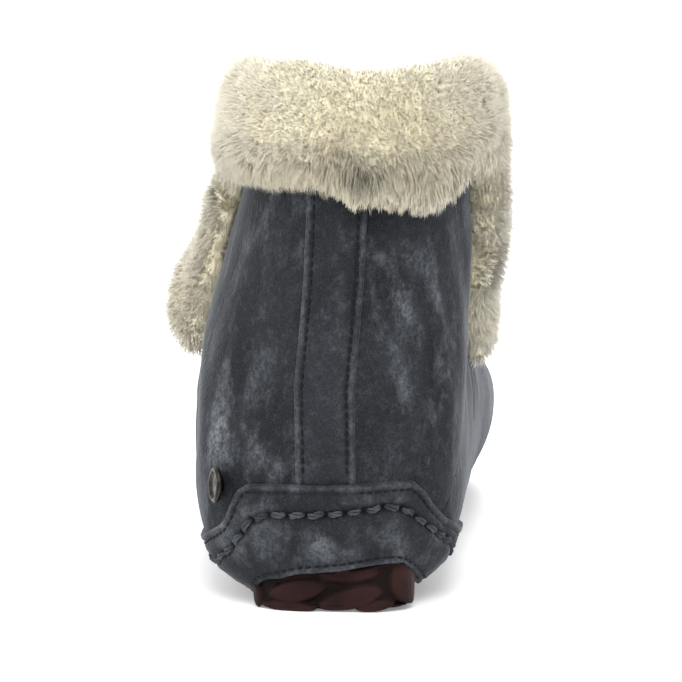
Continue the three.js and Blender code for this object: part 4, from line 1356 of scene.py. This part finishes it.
def cuff_grid(room):
    """Points of a surface some room inside the cuff's, stations by section, with their shares."""
    side, front = np.array([np.pi / 2]), np.array([np.pi])
    last = float(bisect(lambda a: past_throat(suede_point(fold_row(a), a)) + 5, side, front, 24)[0])
    angles = np.linspace(0, last, 240)
    line = suede_point(fold_row(angles), angles)
    length = np.concatenate([[0], np.cumsum(np.linalg.norm(np.diff(line, axis=0), axis=1))])
    share = np.linspace(-1, 1, CUFF_STATIONS)
    angle = np.sign(share) * np.interp(np.abs(share) * length[-1], length, angles)
    row = fold_row(angle)
    station = suede_point(row, angle)
    along = unit(np.gradient(station, axis=0))
    cap = np.sin(np.linspace(0, np.pi / 2, CAP_STEPS + 1)[1:] * 0.985)
    ends = []
    for index, sign in ((0, -1), (-1, 1)):
        reach = sign * cap * CUFF_END
        heading = np.broadcast_to(along[index], (CAP_STEPS, 3))
        ends.append(walk(np.full(CAP_STEPS, row[index]), np.full(CAP_STEPS, angle[index]), heading, reach))
    full = np.sqrt(1 - cap**2)
    row = np.concatenate([ends[0][0][::-1], row, ends[1][0]])
    angle = np.concatenate([ends[0][1][::-1], angle, ends[1][1]])
    along = np.concatenate([np.repeat(along[:1], CAP_STEPS, 0), along, np.repeat(along[-1:], CAP_STEPS, 0)])
    share = np.concatenate([-1 - 0.05 * cap[::-1], share, 1 + 0.05 * cap])
    full = np.concatenate([full[::-1], np.ones(CUFF_STATIONS), full])[:, None]
    rise, drop, depth = course_at(share, angle)
    drop = drop + np.interp(share, CUFF_EDGE[:, 0], CUFF_EDGE[:, 1])
    for height, middle, width in CUFF_HUMPS:
        rise = rise + height * bump_of(share, middle, width)
    down = unit(np.cross(suede_normal(row, angle), along))
    step = 1.5
    fields = {}
    for sign, count in ((1, 42), (-1, 12)):
        at_row, at_angle = row.copy(), angle.copy()
        rows, turns = [at_row], [at_angle]
        heading = down * sign
        for _ in range(count):
            at_row, at_angle = walk(at_row, at_angle, heading, np.full(len(row), step), 1)
            rows.append(at_row)
            turns.append(at_angle)
        fields[sign] = (np.array(rows), np.array(turns))
    loop = section_loop(CUFF_AROUND)
    shrink = np.stack([1 - room * 1.5 / drop[:, None], 1 - room * 1.35 / depth[:, None]], -1)
    shrink = shrink * full[..., None]
    shares = CUFF_MIDDLE + (loop - CUFF_MIDDLE)[None] * shrink
    distance = shares[..., 0] * np.where(shares[..., 0] < 0, rise[:, None], drop[:, None])
    column = np.arange(len(row))[:, None]

    def read(field, at):
        i = np.clip(np.floor(at).astype(int), 0, len(field) - 2)
        t = at - i
        return field[i, column] * (1 - t) + field[i + 1, column] * t

    at = np.abs(distance) / step
    ahead = distance >= 0
    place_row = np.where(ahead, read(fields[1][0], at), read(fields[-1][0], at))
    place_angle = np.where(ahead, read(fields[1][1], at), read(fields[-1][1], at))
    points = suede_point(place_row, place_angle)
    points = points + suede_normal(place_row, place_angle) * (shares[..., 1] * depth[:, None])[..., None]
    centre = section_at(row)[:, 5][:, None]
    side = np.sign(angle)[:, None]
    gap = centre + side * np.maximum(side * (points[..., 0] - centre), THROAT_GAP)
    points[..., 0] = np.where((np.abs(angle) > np.pi / 2)[:, None], gap, points[..., 0])
    return points, share, np.broadcast_to(loop, shares.shape)


def grid_normals(points):
    """Unit normals of a grid closed round its second direction, pointing away from each ring's middle."""
    around = np.roll(points, -1, 1) - np.roll(points, 1, 1)
    along = np.gradient(points, axis=0)
    normal = unit(np.cross(around, along))
    away = points - points.mean(1, keepdims=True)
    return normal * np.where(np.sum(normal * away, -1).mean() < 0, -1, 1)


def make_cuff_body():
    """The body of the turned-out wool that the strands grow from, lumpy in tufts."""
    points, share, loop = cuff_grid(STRAND_ROOM)
    normals = grid_normals(points)
    tufts = 0.9 * lattice_noise(points, 9, 31) + 0.45 * lattice_noise(points, 4, 32)
    body = points + normals * tufts[..., None]
    rings, around = body.shape[:2]
    faces = grid_faces(rings, around, wrap=True)
    middles = np.stack([body[0].mean(0), body[-1].mean(0)])
    everything = np.concatenate([body.reshape(-1, 3), middles])
    faces = turned(everything, faces, np.concatenate([normals.reshape(-1, 3), middles]))
    k = np.arange(around)
    ahead = (k + 1) % around
    base = rings * around
    start = np.stack([np.full(around, base), k, ahead], -1)
    end = np.stack([np.full(around, base + 1), base - around + ahead, base - around + k], -1)
    run = body[1].mean(0) - body[0].mean(0)
    first, second, third = (everything[start[:, k]] for k in range(3))
    if np.sum(np.cross(second - first, third - first) * run) > 0:
        start, end = start[:, ::-1], end[:, ::-1]
    stains = wool_stains(everything)
    values = {"along": np.full(len(everything), 0.6), "tan": stains[0], "grey": stains[1]}
    values.update(lie_of(np.concatenate([normals.reshape(-1, 3), unit(np.stack([-run, run]))])))
    piece = make_piece("cuff_wool_body", everything, [faces, start, end], WOOL, values)
    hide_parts("fur_cuff")
    return body, normals, share, loop


# stains and shadows of the fleece: x, s, z of both ends, width, strength
TAN_PATCHES = [
    [17, -2, 156, 13, -2, 154, 4.5, 0.34],
    [24, -1, 150, 19, -3, 148, 5, 0.38],
    [-10, -3, 156, -13, -3, 155, 4.5, 0.36],
    [-22, -1, 155, -26, 0, 153, 4.5, 0.36],
    [10, -4, 145, 2, -4, 142, 5, 0.45],
    [-32, 4, 145, -36, 8, 142, 5.5, 0.38],
    [16, -3, 139, 6, -4, 137, 5, 0.34],
    [48, 84, 104, 50, 104, 76, 7, 0.3],
    [-46, 88, 104, -48, 104, 84, 6, 0.3],
]
GREY_PATCHES = [
    [-3, -3, 141, -9, -3, 133, 5, 1.2],
    [-9, -3, 138, -14, -2, 136, 4, 0.5],
    [3, -3, 137, -3, -3, 133, 4, 0.45],
    [-18, -1, 136, -30, 5, 138, 4, 0.2],
    [24, -1, 138, 6, -3, 136, 5.5, 0.34],
]


def wool_stains(points, low=0.0):
    """Tan and grey shares at points; low adds the shade of the wool's lower side."""
    wander = 0.75 + 0.5 * lattice_noise(points, 6, 41)
    cloud = 0.16 * np.maximum(lattice_noise(points, 11, 42), 0)
    tan = np.clip(strokes(points, TAN_PATCHES) * wander + cloud + 0.3 * low, 0, 0.8)
    return tan, np.clip(strokes(points, GREY_PATCHES) * wander + 0.26 * low, 0, 0.95)


def sample_grid(rng, points, fields, count, weight):
    """Fields read at random places of a grid closed round its second direction, by area times weight."""
    rings, around = points.shape[:2]
    after = np.roll(points, -1, 1)
    a, b, c = points[:-1], points[1:], after[:-1]
    area = np.linalg.norm(np.cross(b - a, c - a), axis=-1) * weight[:-1]
    chance = np.cumsum(area.ravel())
    pick = np.searchsorted(chance, rng.uniform(0, chance[-1], count))
    i, j = pick // around, pick % around
    u, v = rng.uniform(size=(2, count))
    k = (j + 1) % around
    out = []
    for field in fields:
        shape = (count,) + (1,) * (field.ndim - 2)
        uu, vv = u.reshape(shape), v.reshape(shape)
        low = field[i, j] * (1 - vv) + field[i, k] * vv
        high = field[i + 1, j] * (1 - vv) + field[i + 1, k] * vv
        out.append(low * (1 - uu) + high * uu)
    return out


def gather(rng, roots, tips, clumps, pull):
    """Tips drawn towards the tip of the nearest of some randomly chosen strands."""
    heads = rng.choice(len(roots), clumps, replace=False)
    nearest = np.empty(len(roots), int)
    for part in np.array_split(np.arange(len(roots)), max(len(roots) // 4000, 1)):
        gap = ((roots[part, None] - roots[heads][None]) ** 2).sum(-1)
        nearest[part] = heads[np.argmin(gap, 1)]
    return tips + (tips[nearest] - tips) * pull[:, None]


def grow(name, roots, tips, bow, radius, values, segments, slot, fleece):
    """Tapered three-sided strands from roots to tips that bow sideways by bow * 4t(1 - t), with pointed ends.
    They are lit by the fleece's normal with 0.2 of their own."""
    rng = np.random.default_rng(len(roots) + segments)
    count = len(roots)
    run = unit(tips - roots)
    side = unit(np.cross(run, rng.normal(size=(count, 3))))
    other = np.cross(run, side)
    t = np.linspace(0, 1, segments + 1)[:-1]
    spin = np.array([0, 2, 4]) * np.pi / 3
    middle = roots[:, None] + (tips - roots)[:, None] * t[None, :, None]
    middle = middle + bow[:, None] * (4 * t * (1 - t))[None, :, None]
    wide = (radius[:, None] * (1 - 0.75 * t[None, :] ** 1.3))[..., None, None]
    ring = side[:, None, None] * np.cos(spin)[:, None] + other[:, None, None] * np.sin(spin)[:, None]
    points = (middle[:, :, None] + wide * ring).reshape(count, -1, 3)
    points = np.concatenate([points, tips[:, None]], 1)
    each = points.shape[1]
    corners = [(k, (k + 1) % 3) for k in range(3)]
    levels = range(0, 3 * (segments - 1), 3)
    quads = [[r + k, r + after, r + 3 + after, r + 3 + k] for r in levels for k, after in corners]
    top = 3 * (segments - 1)
    triangles = [[top + k, top + after, each - 1] for k, after in corners] + [[0, 2, 1]]
    starts = (np.arange(count) * each)[:, None, None]
    groups = [np.array(group) for group in (quads, triangles) if group]
    faces = [(group[None] + starts).reshape(-1, group.shape[1]) for group in groups]
    along = np.append(np.repeat(t, 3), 1.0)
    spread = {"along": np.broadcast_to(along, (count, each)) * values.pop("reach", np.ones(count))[:, None]}
    spread.update({key: np.repeat(value[:, None], each, 1) for key, value in values.items()})
    own = np.concatenate([np.repeat(ring, segments, 1).reshape(count, -1, 3), run[:, None]], 1)
    spread.update(lie_of(unit(fleece)[:, None] + 0.2 * own))
    return make_piece(name, points.reshape(-1, 3), faces, WOOL, spread)


def make_cuff_strands(body, normals, share, loop):
    """Plush strands all over the cuff: short and outward on top, combed down and longer at the lower edge."""
    rng = np.random.default_rng(5)
    rings, around = body.shape[:2]
    down = unit(np.roll(body, -1, 1) - np.roll(body, 1, 1))
    shares = np.broadcast_to(share[:, None], (rings, around))
    # the side against the suede and the inside need few strands
    outer = smooth(loop[..., 1], -0.15, 0.2)
    seen = np.where(np.abs(shares) < 0.5, 1.35, 1.0)
    weight = (0.16 + 0.84 * outer) * seen
    total = CUFF_STRANDS
    fields = (body, normals, down, np.ascontiguousarray(loop), np.ascontiguousarray(shares))
    roots, normal, down, loop, at = sample_grid(rng, body, fields, total, weight)
    normal, down = unit(normal), unit(down)
    low = smooth(loop[:, 0], 0.25, 0.95) * smooth(loop[:, 1], -0.1, 0.3)
    under = smooth(loop[:, 1], 0.1, -0.2) * smooth(loop[:, 0], 0.3, 0.9)
    back = 1 - smooth(np.abs(at), 0.35, 0.6)
    parted = bump_of(roots[:, 0], -8, 24) * bump_of(roots[:, 2], 133, 9) * back
    length = 3.5 + 1.6 * low + 3.0 * parted * low + rng.normal(0, 0.7, total)
    comb = 0.12 + 0.95 * low * (0.45 + 0.55 * back) + 0.5 * parted
    scatter = 0.6 - 0.22 * low
    sideways = np.cross(normal, down)
    part_line = np.clip((roots[:, 0] + 6) / 14, -1, 1) * parted
    heading = normal + down * comb[:, None] + rng.normal(0, 1, (total, 3)) * scatter[:, None]
    heading = heading + np.array([1.0, 0, 0]) * (0.45 * part_line)[:, None]
    heading = heading + sideways * (0.35 * lattice_noise(roots, 7, 51))[:, None]
    heading = heading + down * (0.3 * lattice_noise(roots, 6, 52))[:, None]
    heading = heading - normal * (0.5 * under)[:, None]
    heading = unit(heading)
    tips = roots + heading * length[:, None]
    tips = gather(rng, roots, tips, 3600, 0.03 + 0.5 * parted * low + 0.25 * low)
    bow = down * (-0.10 * length * (0.3 + low))[:, None] + rng.normal(0, 0.22, (total, 3))
    # painted shade of the cuff's lower side and underside, weaker on the lapels
    shade = np.clip((low + under) * (1 - 0.7 * smooth(np.abs(at), 0.45, 0.65)), 0, 1)
    tan, grey = wool_stains(roots, shade)
    grey = grey * rng.uniform(0.4, 1.3, total)
    tan = tan * rng.uniform(0.4, 1.4, total)
    reach = rng.uniform(0.8, 1.15, total)
    radius = 0.13 - 0.01 * low
    # short upright strands are plain spikes, combed ones have a bend
    bent = low > 0.3
    sides = [("inner", at < -0.34), ("back", np.abs(at) <= 0.34), ("outer", at > 0.34)]
    sink = roots - normal * 0.6
    for side, chosen in sides:
        for kind, segments, which in (("nap", 1, ~bent), ("fringe", 2, bent)):
            group = np.flatnonzero(chosen & which)
            values = {"reach": reach[group], "tan": tan[group], "grey": grey[group]}
            run = [part[group] for part in (sink, tips, bow, radius)]
            grow(f"cuff_wool_{kind}_{side}", *run, values, segments, "wool", normal[group])


def make_wisps(body, normals, share, loop):
    """Longer locks that hang from the cuff's lower edge in pointed tufts."""
    rng = np.random.default_rng(8)
    rings, around = body.shape[:2]
    shares = np.broadcast_to(share[:, None], (rings, around))
    lower = smooth(loop[..., 0], 0.72, 0.95) * smooth(loop[..., 1], -0.05, 0.25)
    place_weight = 0.25 + 1.6 * bump_of(shares, -0.12, 0.16) + 0.7 * bump_of(shares, 0.03, 0.06)
    weight = lower * place_weight * (np.abs(shares) < 0.62)
    down = unit(np.roll(body, -1, 1) - np.roll(body, 1, 1))
    fields = (body, normals, down, np.ascontiguousarray(shares))
    total = HANGING_STRANDS
    roots, normal, down, at = sample_grid(rng, body, fields, total, weight + 1e-9)
    normal = unit(normal)
    reach_out = 5.4 + 3.0 * bump_of(at, -0.14, 0.08)
    reach_out = reach_out + 2.4 * bump_of(at, 0.0, 0.03) - 1.8 * bump_of(at, 0.14, 0.1)
    length = reach_out * rng.uniform(0.75, 1.2, total)
    fall = np.array([0, 0, -1.0])
    drift = np.stack([lattice_noise(roots, 5, 53), np.zeros(total), np.zeros(total)], -1)
    heading = unit(normal * 0.55 + fall * 1.25 + 0.5 * drift + rng.normal(0, 0.24, (total, 3)))
    tips = roots + heading * length[:, None]
    tips = gather(rng, roots, tips, 240, np.full(total, 0.5))
    bow = normal * (0.14 * length)[:, None] + rng.normal(0, 0.2, (total, 3))
    # painted shade of the lower side on every hanging lock
    tan, grey = wool_stains(roots, 0.6)
    values = {"reach": np.full(total, 0.95), "tan": tan * 0.5, "grey": grey * rng.uniform(0.2, 0.9, total)}
    grow("cuff_wool_locks", roots - normal * 0.5, tips, bow, np.full(total, 0.15), values, 3, "wool", normal)


def wall_depth(points):
    """Thickness of suede and wool: thin at the feather line, full above it."""
    return SKIN + (WALL - SKIN) * smooth(above_feather(points), WOOL_FROM, WOOL_FULL)


def make_lining():
    """The wool inside the boot, from the fold down to the footbed, with strands where it can be seen."""
    row, angle = shell_places(LINING_ROWS, LINING_COLUMNS)
    points, normals = suede_point(row, angle), suede_normal(row, angle)
    waves = 0.8 * lattice_noise(points, 8, 61) + 0.5 * lattice_noise(points, 3.6, 62)
    face = points - normals * (wall_depth(points) - 0.9 + waves)[..., None]
    back_row, back_angle = shell_places(LINING_BACK_ROWS, LINING_COLUMNS)
    back_normals = suede_normal(back_row, back_angle)
    back = suede_point(back_row, back_angle) - back_normals * (SUEDE_THICKNESS + 0.15)
    everything, faces = wall_between(face, back, -normals)
    count = len(everything)
    values = {"along": np.full(count, 0.7), "tan": np.full(count, 0.06), "grey": np.zeros(count)}
    values.update(lie_of(np.concatenate([-normals.reshape(-1, 3), back_normals.reshape(-1, 3)])))
    make_piece("wool_lining", everything, faces, WOOL, values)
    rng = np.random.default_rng(12)
    near = below_fold(points)
    weight = (0.45 + 0.55 * smooth(near, 75, 25)) * (1 - 0.97 * smooth(-points[..., 1], 105, 130))
    total = LINING_STRANDS
    into = -normals
    up = unit(np.gradient(points, axis=0))
    roots, inward, up = sample_grid(rng, face, (face, into, up), total, weight)
    heading = unit(unit(inward) + 0.35 * up + rng.normal(0, 0.3, (total, 3)))
    tips = roots + heading * rng.uniform(2.6, 4.2, total)[:, None]
    tips = gather(rng, roots, tips, 900, np.full(total, 0.12))
    tan = np.clip(0.05 + 0.08 * rng.normal(size=total), 0, 0.3)
    values = {"reach": rng.uniform(0.9, 1.2, total), "tan": tan, "grey": np.zeros(total)}
    bow = rng.normal(0, 0.3, (total, 3))
    thick = np.full(total, 0.26)
    grow("wool_lining_strands", roots - heading * 0.5, tips, bow, thick, values, 2, "wool", inward)
    # the tuft that fills the lower end of the throat, rooted in the lining's upper edge
    strip = np.stack([face[-1], back[-1]])
    total = THROAT_STRANDS
    across = bump_of(np.linspace(0, 1, LINING_COLUMNS), 0.5, 0.045)
    near_middle = np.broadcast_to(across, (2, LINING_COLUMNS))
    roots, = sample_grid(rng, strip, (strip,), total, near_middle)
    heading = unit(np.array([0, -0.75, 0.6]) + rng.normal(0, 0.4, (total, 3)))
    tips = gather(rng, roots, roots + heading * rng.uniform(4.5, 8, total)[:, None], 90, np.full(total, 0.3))
    values = {"reach": rng.uniform(0.75, 1.1, total), "tan": np.full(total, 0.1), "grey": np.zeros(total)}
    bow = rng.normal(0, 0.5, (total, 3))
    forward = np.broadcast_to([0, -0.7, 0.7], roots.shape)
    grow("throat_tuft", roots - heading, tips, bow, np.full(total, 0.28), values, 2, "wool", forward)


def make_footbed():
    """The sheepskin footbed: a crowned pad with short strands on its upper face."""
    steps, columns = 90, 25
    rim, _ = sole_rim(steps, FOOTBED_INSET, 0)
    outer, inner = rim[: steps + 1], np.concatenate([rim[:1], rim[:steps - 1:-1]])
    outer, inner = outer[3:-3], inner[3:-3]
    share = np.linspace(0, 1, columns)[None, :, None]
    plan = outer[:, None] * (1 - share) + inner[:, None] * share
    width = np.linalg.norm(outer - inner, axis=-1)[:, None]
    from_edge = np.minimum(share[..., 0], 1 - share[..., 0]) * width
    from_end = np.minimum(np.arange(len(outer)), np.arange(len(outer))[::-1])[:, None] * 2.0
    crown = np.sqrt(np.clip(1 - (1 - np.clip(np.minimum(from_edge, from_end) / 7, 0, 1)) ** 2, 0, 1))
    foot = feather_height(-plan[..., 1]) + 2.0 * (1 - smooth(-plan[..., 1], 20, 40)) + 0.4
    top, bottom = plan.copy(), plan.copy()
    top[..., 2] = foot + 0.6 + 5.6 * crown + 0.35 * lattice_noise(plan, 7, 71)
    bottom[..., 2] = foot
    rows = len(outer)
    count = rows * columns
    face = turned(top.reshape(-1, 3), grid_faces(rows, columns), np.broadcast_to([0, 0, 1.0], (count, 3)))
    rim_band = rim_faces(rows, columns)
    if not np.array_equal(face, grid_faces(rows, columns)):
        rim_band = rim_band[:, ::-1]
    both = np.concatenate([top.reshape(-1, 3), bottom.reshape(-1, 3)])
    shares = {"along": 0.5, "tan": 0.15, "grey": 0.12}
    values = {key: np.full(len(both), share) for key, share in shares.items()}
    values.update(lie_of(np.repeat([[0, 0, 1.0], [0, 0, -1.0]], count, 0)))
    faces = [face, face[:, ::-1] + count, rim_band]
    piece = make_piece("sheepskin_footbed", both, faces, WOOL, values)
    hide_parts("insole")
    rng = np.random.default_rng(14)
    total = FOOTBED_STRANDS
    weight = np.ones((rows, columns))
    weight[:, -1] = 0
    roots, = sample_grid(rng, top, (top,), total, weight)
    heading = unit(np.array([0, 0, 1.0]) + rng.normal(0, 0.4, (total, 3)))
    tips = roots + heading * rng.uniform(2, 3.4, total)[:, None]
    values = {"reach": rng.uniform(0.7, 1.0, total), "tan": np.full(total, 0.15), "grey": np.zeros(total)}
    bow = rng.normal(0, 0.25, (total, 3))
    upward = np.broadcast_to([0, 0, 1.0], roots.shape)
    thick = np.full(total, 0.3)
    grow("footbed_strands", roots - [0, 0, 0.4], tips, bow, thick, values, 2, "footbed_wool", upward)


make_lining()
make_footbed()
cuff = make_cuff_body()
make_cuff_strands(*cuff)
make_wisps(*cuff)

# ---------------------------------------------------------------- stud
STUD_S, STUD_Z, STUD_RADIUS, STUD_TILT = 15.4, 36.7, 5.5, 1.3
STUD_STEPS, STUD_TURNS = 44, 48


def make_stud():
    """The side stud: a disc with a rolled rim round a shallow plain face, revolved round its own axis."""
    usable = SEED_ANGLES.ravel() > 0.2
    miss = np.hypot(-SEED_POINTS[:, 1] - STUD_S, SEED_POINTS[:, 2] - STUD_Z)
    best = np.argmin(np.where(usable, miss, 1e9))
    row, angle = SEED_ROWS.ravel()[best], SEED_ANGLES.ravel()[best]
    normal = suede_normal(row, angle)
    facing = unit(normal + np.array([STUD_TILT, 0, 0]))
    clear = 0.3 + STUD_RADIUS * np.sqrt(1 - float(facing @ normal) ** 2)
    middle = suede_point(row, angle) + normal * clear
    r = STUD_RADIUS
    profile = np.array(
        [
            [0.0, -1.4],
            [2.2, -1.4],
            [2.6, -0.6],
            [r - 1.2, -0.1],
            [r - 0.3, 0.15],
            [r, 0.6],
            [r, 1.1],
            [r - 0.25, 1.55],
            [r - 0.7, 1.78],
            [r - 1.15, 1.7],
            [r - 1.45, 1.4],
            [r - 1.65, 1.1],
            [r - 2.0, 1.02],
            [r - 3.2, 1.16],
            [1.2, 1.32],
            [0.0, 1.36],
        ]
    )
    profile = curve_through(profile, STUD_STEPS)
    profile[0, 0] = profile[-1, 0] = 0
    turn = np.linspace(0, 2 * np.pi, STUD_TURNS, endpoint=False)
    side = unit(np.cross(facing, [0, 0, 1.0]))
    other = np.cross(facing, side)
    ring = side * np.cos(turn)[:, None] + other * np.sin(turn)[:, None]
    points = middle + profile[:, None, :1] * ring[None] + profile[:, None, 1:] * facing
    outward = profile[:, None, :1] * ring[None]
    faces = grid_faces(STUD_STEPS, STUD_TURNS, wrap=True)
    faces = turned(points.reshape(-1, 3), faces, outward.reshape(-1, 3))
    merged, welded = weld(points.reshape(-1, 3), [faces])
    piece = make_piece("side_stud_disc", merged, welded, STUD_METAL)
    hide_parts("side_stud")


def stud_finish():
    """Antique bronze: mottled by a slow cloud from nearly black to dark bronze, smoother where it is lighter.
    """
    material, shader = new_material("antique_bronze", (0.08, 0.072, 0.06), 0.36, Metallic=1.0)
    at = place(material)
    cloud = noise(material, at, 420, 3, 0.6)
    tone = mix(material, ramp(material, cloud, 0.35, 0.65), (0.014, 0.013, 0.012), (0.05, 0.045, 0.038))
    link(material, tone, shader.inputs["Base Color"])
    link(material, ramp(material, cloud, 0.3, 0.7, 0.5, 0.28), shader.inputs["Roughness"])
    bump(material, shader, cloud, 0.0002, 0.4)
    return material


STUD_METAL = stud_finish()
make_stud()

# ---------------------------------------------------------------- camera, floor and light
VIEW_TURN = np.radians(-2.2)
VIEW_RISE = np.radians(11.5)
VIEW_DISTANCE = 1.8
# lens and sensor in millimetres
FOCAL, SENSOR = 313.548387, 36
# where the camera aims, from the back of the heel on the floor, in metres
AIM_UP, AIM_RIGHT = 0.0825757576, 0.0036363636


def make_camera():
    """A long lens behind the boot, a little to its inner side, aimed above the heel."""
    away = np.array(
        [np.sin(VIEW_TURN) * np.cos(VIEW_RISE), np.cos(VIEW_TURN) * np.cos(VIEW_RISE), np.sin(VIEW_RISE)]
    )
    right = unit(np.cross(-away, [0, 0, 1]))
    up = np.cross(right, -away)
    spot = LAST_ORIGIN + away * VIEW_DISTANCE
    aim = LAST_ORIGIN + up * AIM_UP + right * AIM_RIGHT
    data = bpy.data.cameras.new("camera")
    data.lens = FOCAL
    data.sensor_width = SENSOR
    data.clip_start = 0.05
    data.clip_end = 30
    camera = bpy.data.objects.new("camera", data)
    camera.location = spot
    camera.rotation_mode = "QUATERNION"
    camera.rotation_quaternion = Vector(aim - spot).to_track_quat("-Z", "Y")
    scene.collection.objects.link(camera)
    scene.camera = camera


def make_floor():
    """A wide plain pale floor."""
    mesh = bpy.data.meshes.new("floor")
    reach = 6.0
    corners = [(-reach, -reach, 0), (reach, -reach, 0), (reach, reach, 0), (-reach, reach, 0)]
    mesh.from_pydata(corners, [], [(0, 1, 2, 3)])
    material, shader = new_material("floor", (0.93, 0.93, 0.93), 0.9)
    shader.inputs["Specular IOR Level"].default_value = 0.0
    shader.inputs["Emission Color"].default_value = (1, 1, 1, 1)
    shader.inputs["Emission Strength"].default_value = 0.2
    mesh.materials.append(material)
    floor = bpy.data.objects.new("floor", mesh)
    scene.collection.objects.link(floor)


def make_light(name, place_at, size, power):
    """A square soft light aimed at the boot."""
    data = bpy.data.lights.new(name, "AREA")
    data.size = size
    data.energy = power
    lamp = bpy.data.objects.new(name, data)
    lamp.location = place_at
    lamp.rotation_mode = "QUATERNION"
    lamp.rotation_quaternion = (Vector((0, 0, 0.08)) - Vector(place_at)).to_track_quat("-Z", "Y")
    scene.collection.objects.link(lamp)


def make_world():
    """A white surround, dimmer on the camera's side."""
    world = bpy.data.worlds.new("white")
    world.use_nodes = True
    nodes, links = world.node_tree.nodes, world.node_tree.links
    heading = nodes.new("ShaderNodeTexCoord").outputs["Generated"]
    split = nodes.new("ShaderNodeSeparateXYZ")
    links.new(heading, split.inputs[0])
    level = nodes.new("ShaderNodeMapRange")
    level.inputs["From Min"].default_value = -0.3
    level.inputs["From Max"].default_value = 0.9
    level.inputs["To Min"].default_value = 1.35
    level.inputs["To Max"].default_value = 0.5
    links.new(split.outputs["Y"], level.inputs["Value"])
    nodes["Background"].inputs[0].default_value = (1, 1, 1, 1)
    links.new(level.outputs[0], nodes["Background"].inputs[1])
    scene.world = world


scene.view_settings.view_transform = "Standard"
make_camera()
make_floor()
make_world()
make_light("side", (1.4, 0.6, 0.8), 0.8, 8)
make_light("above", (-0.1, -0.9, 1.6), 0.7, 19)
make_light("behind", (-0.1, 1.3, 1.7), 1.2, 23)
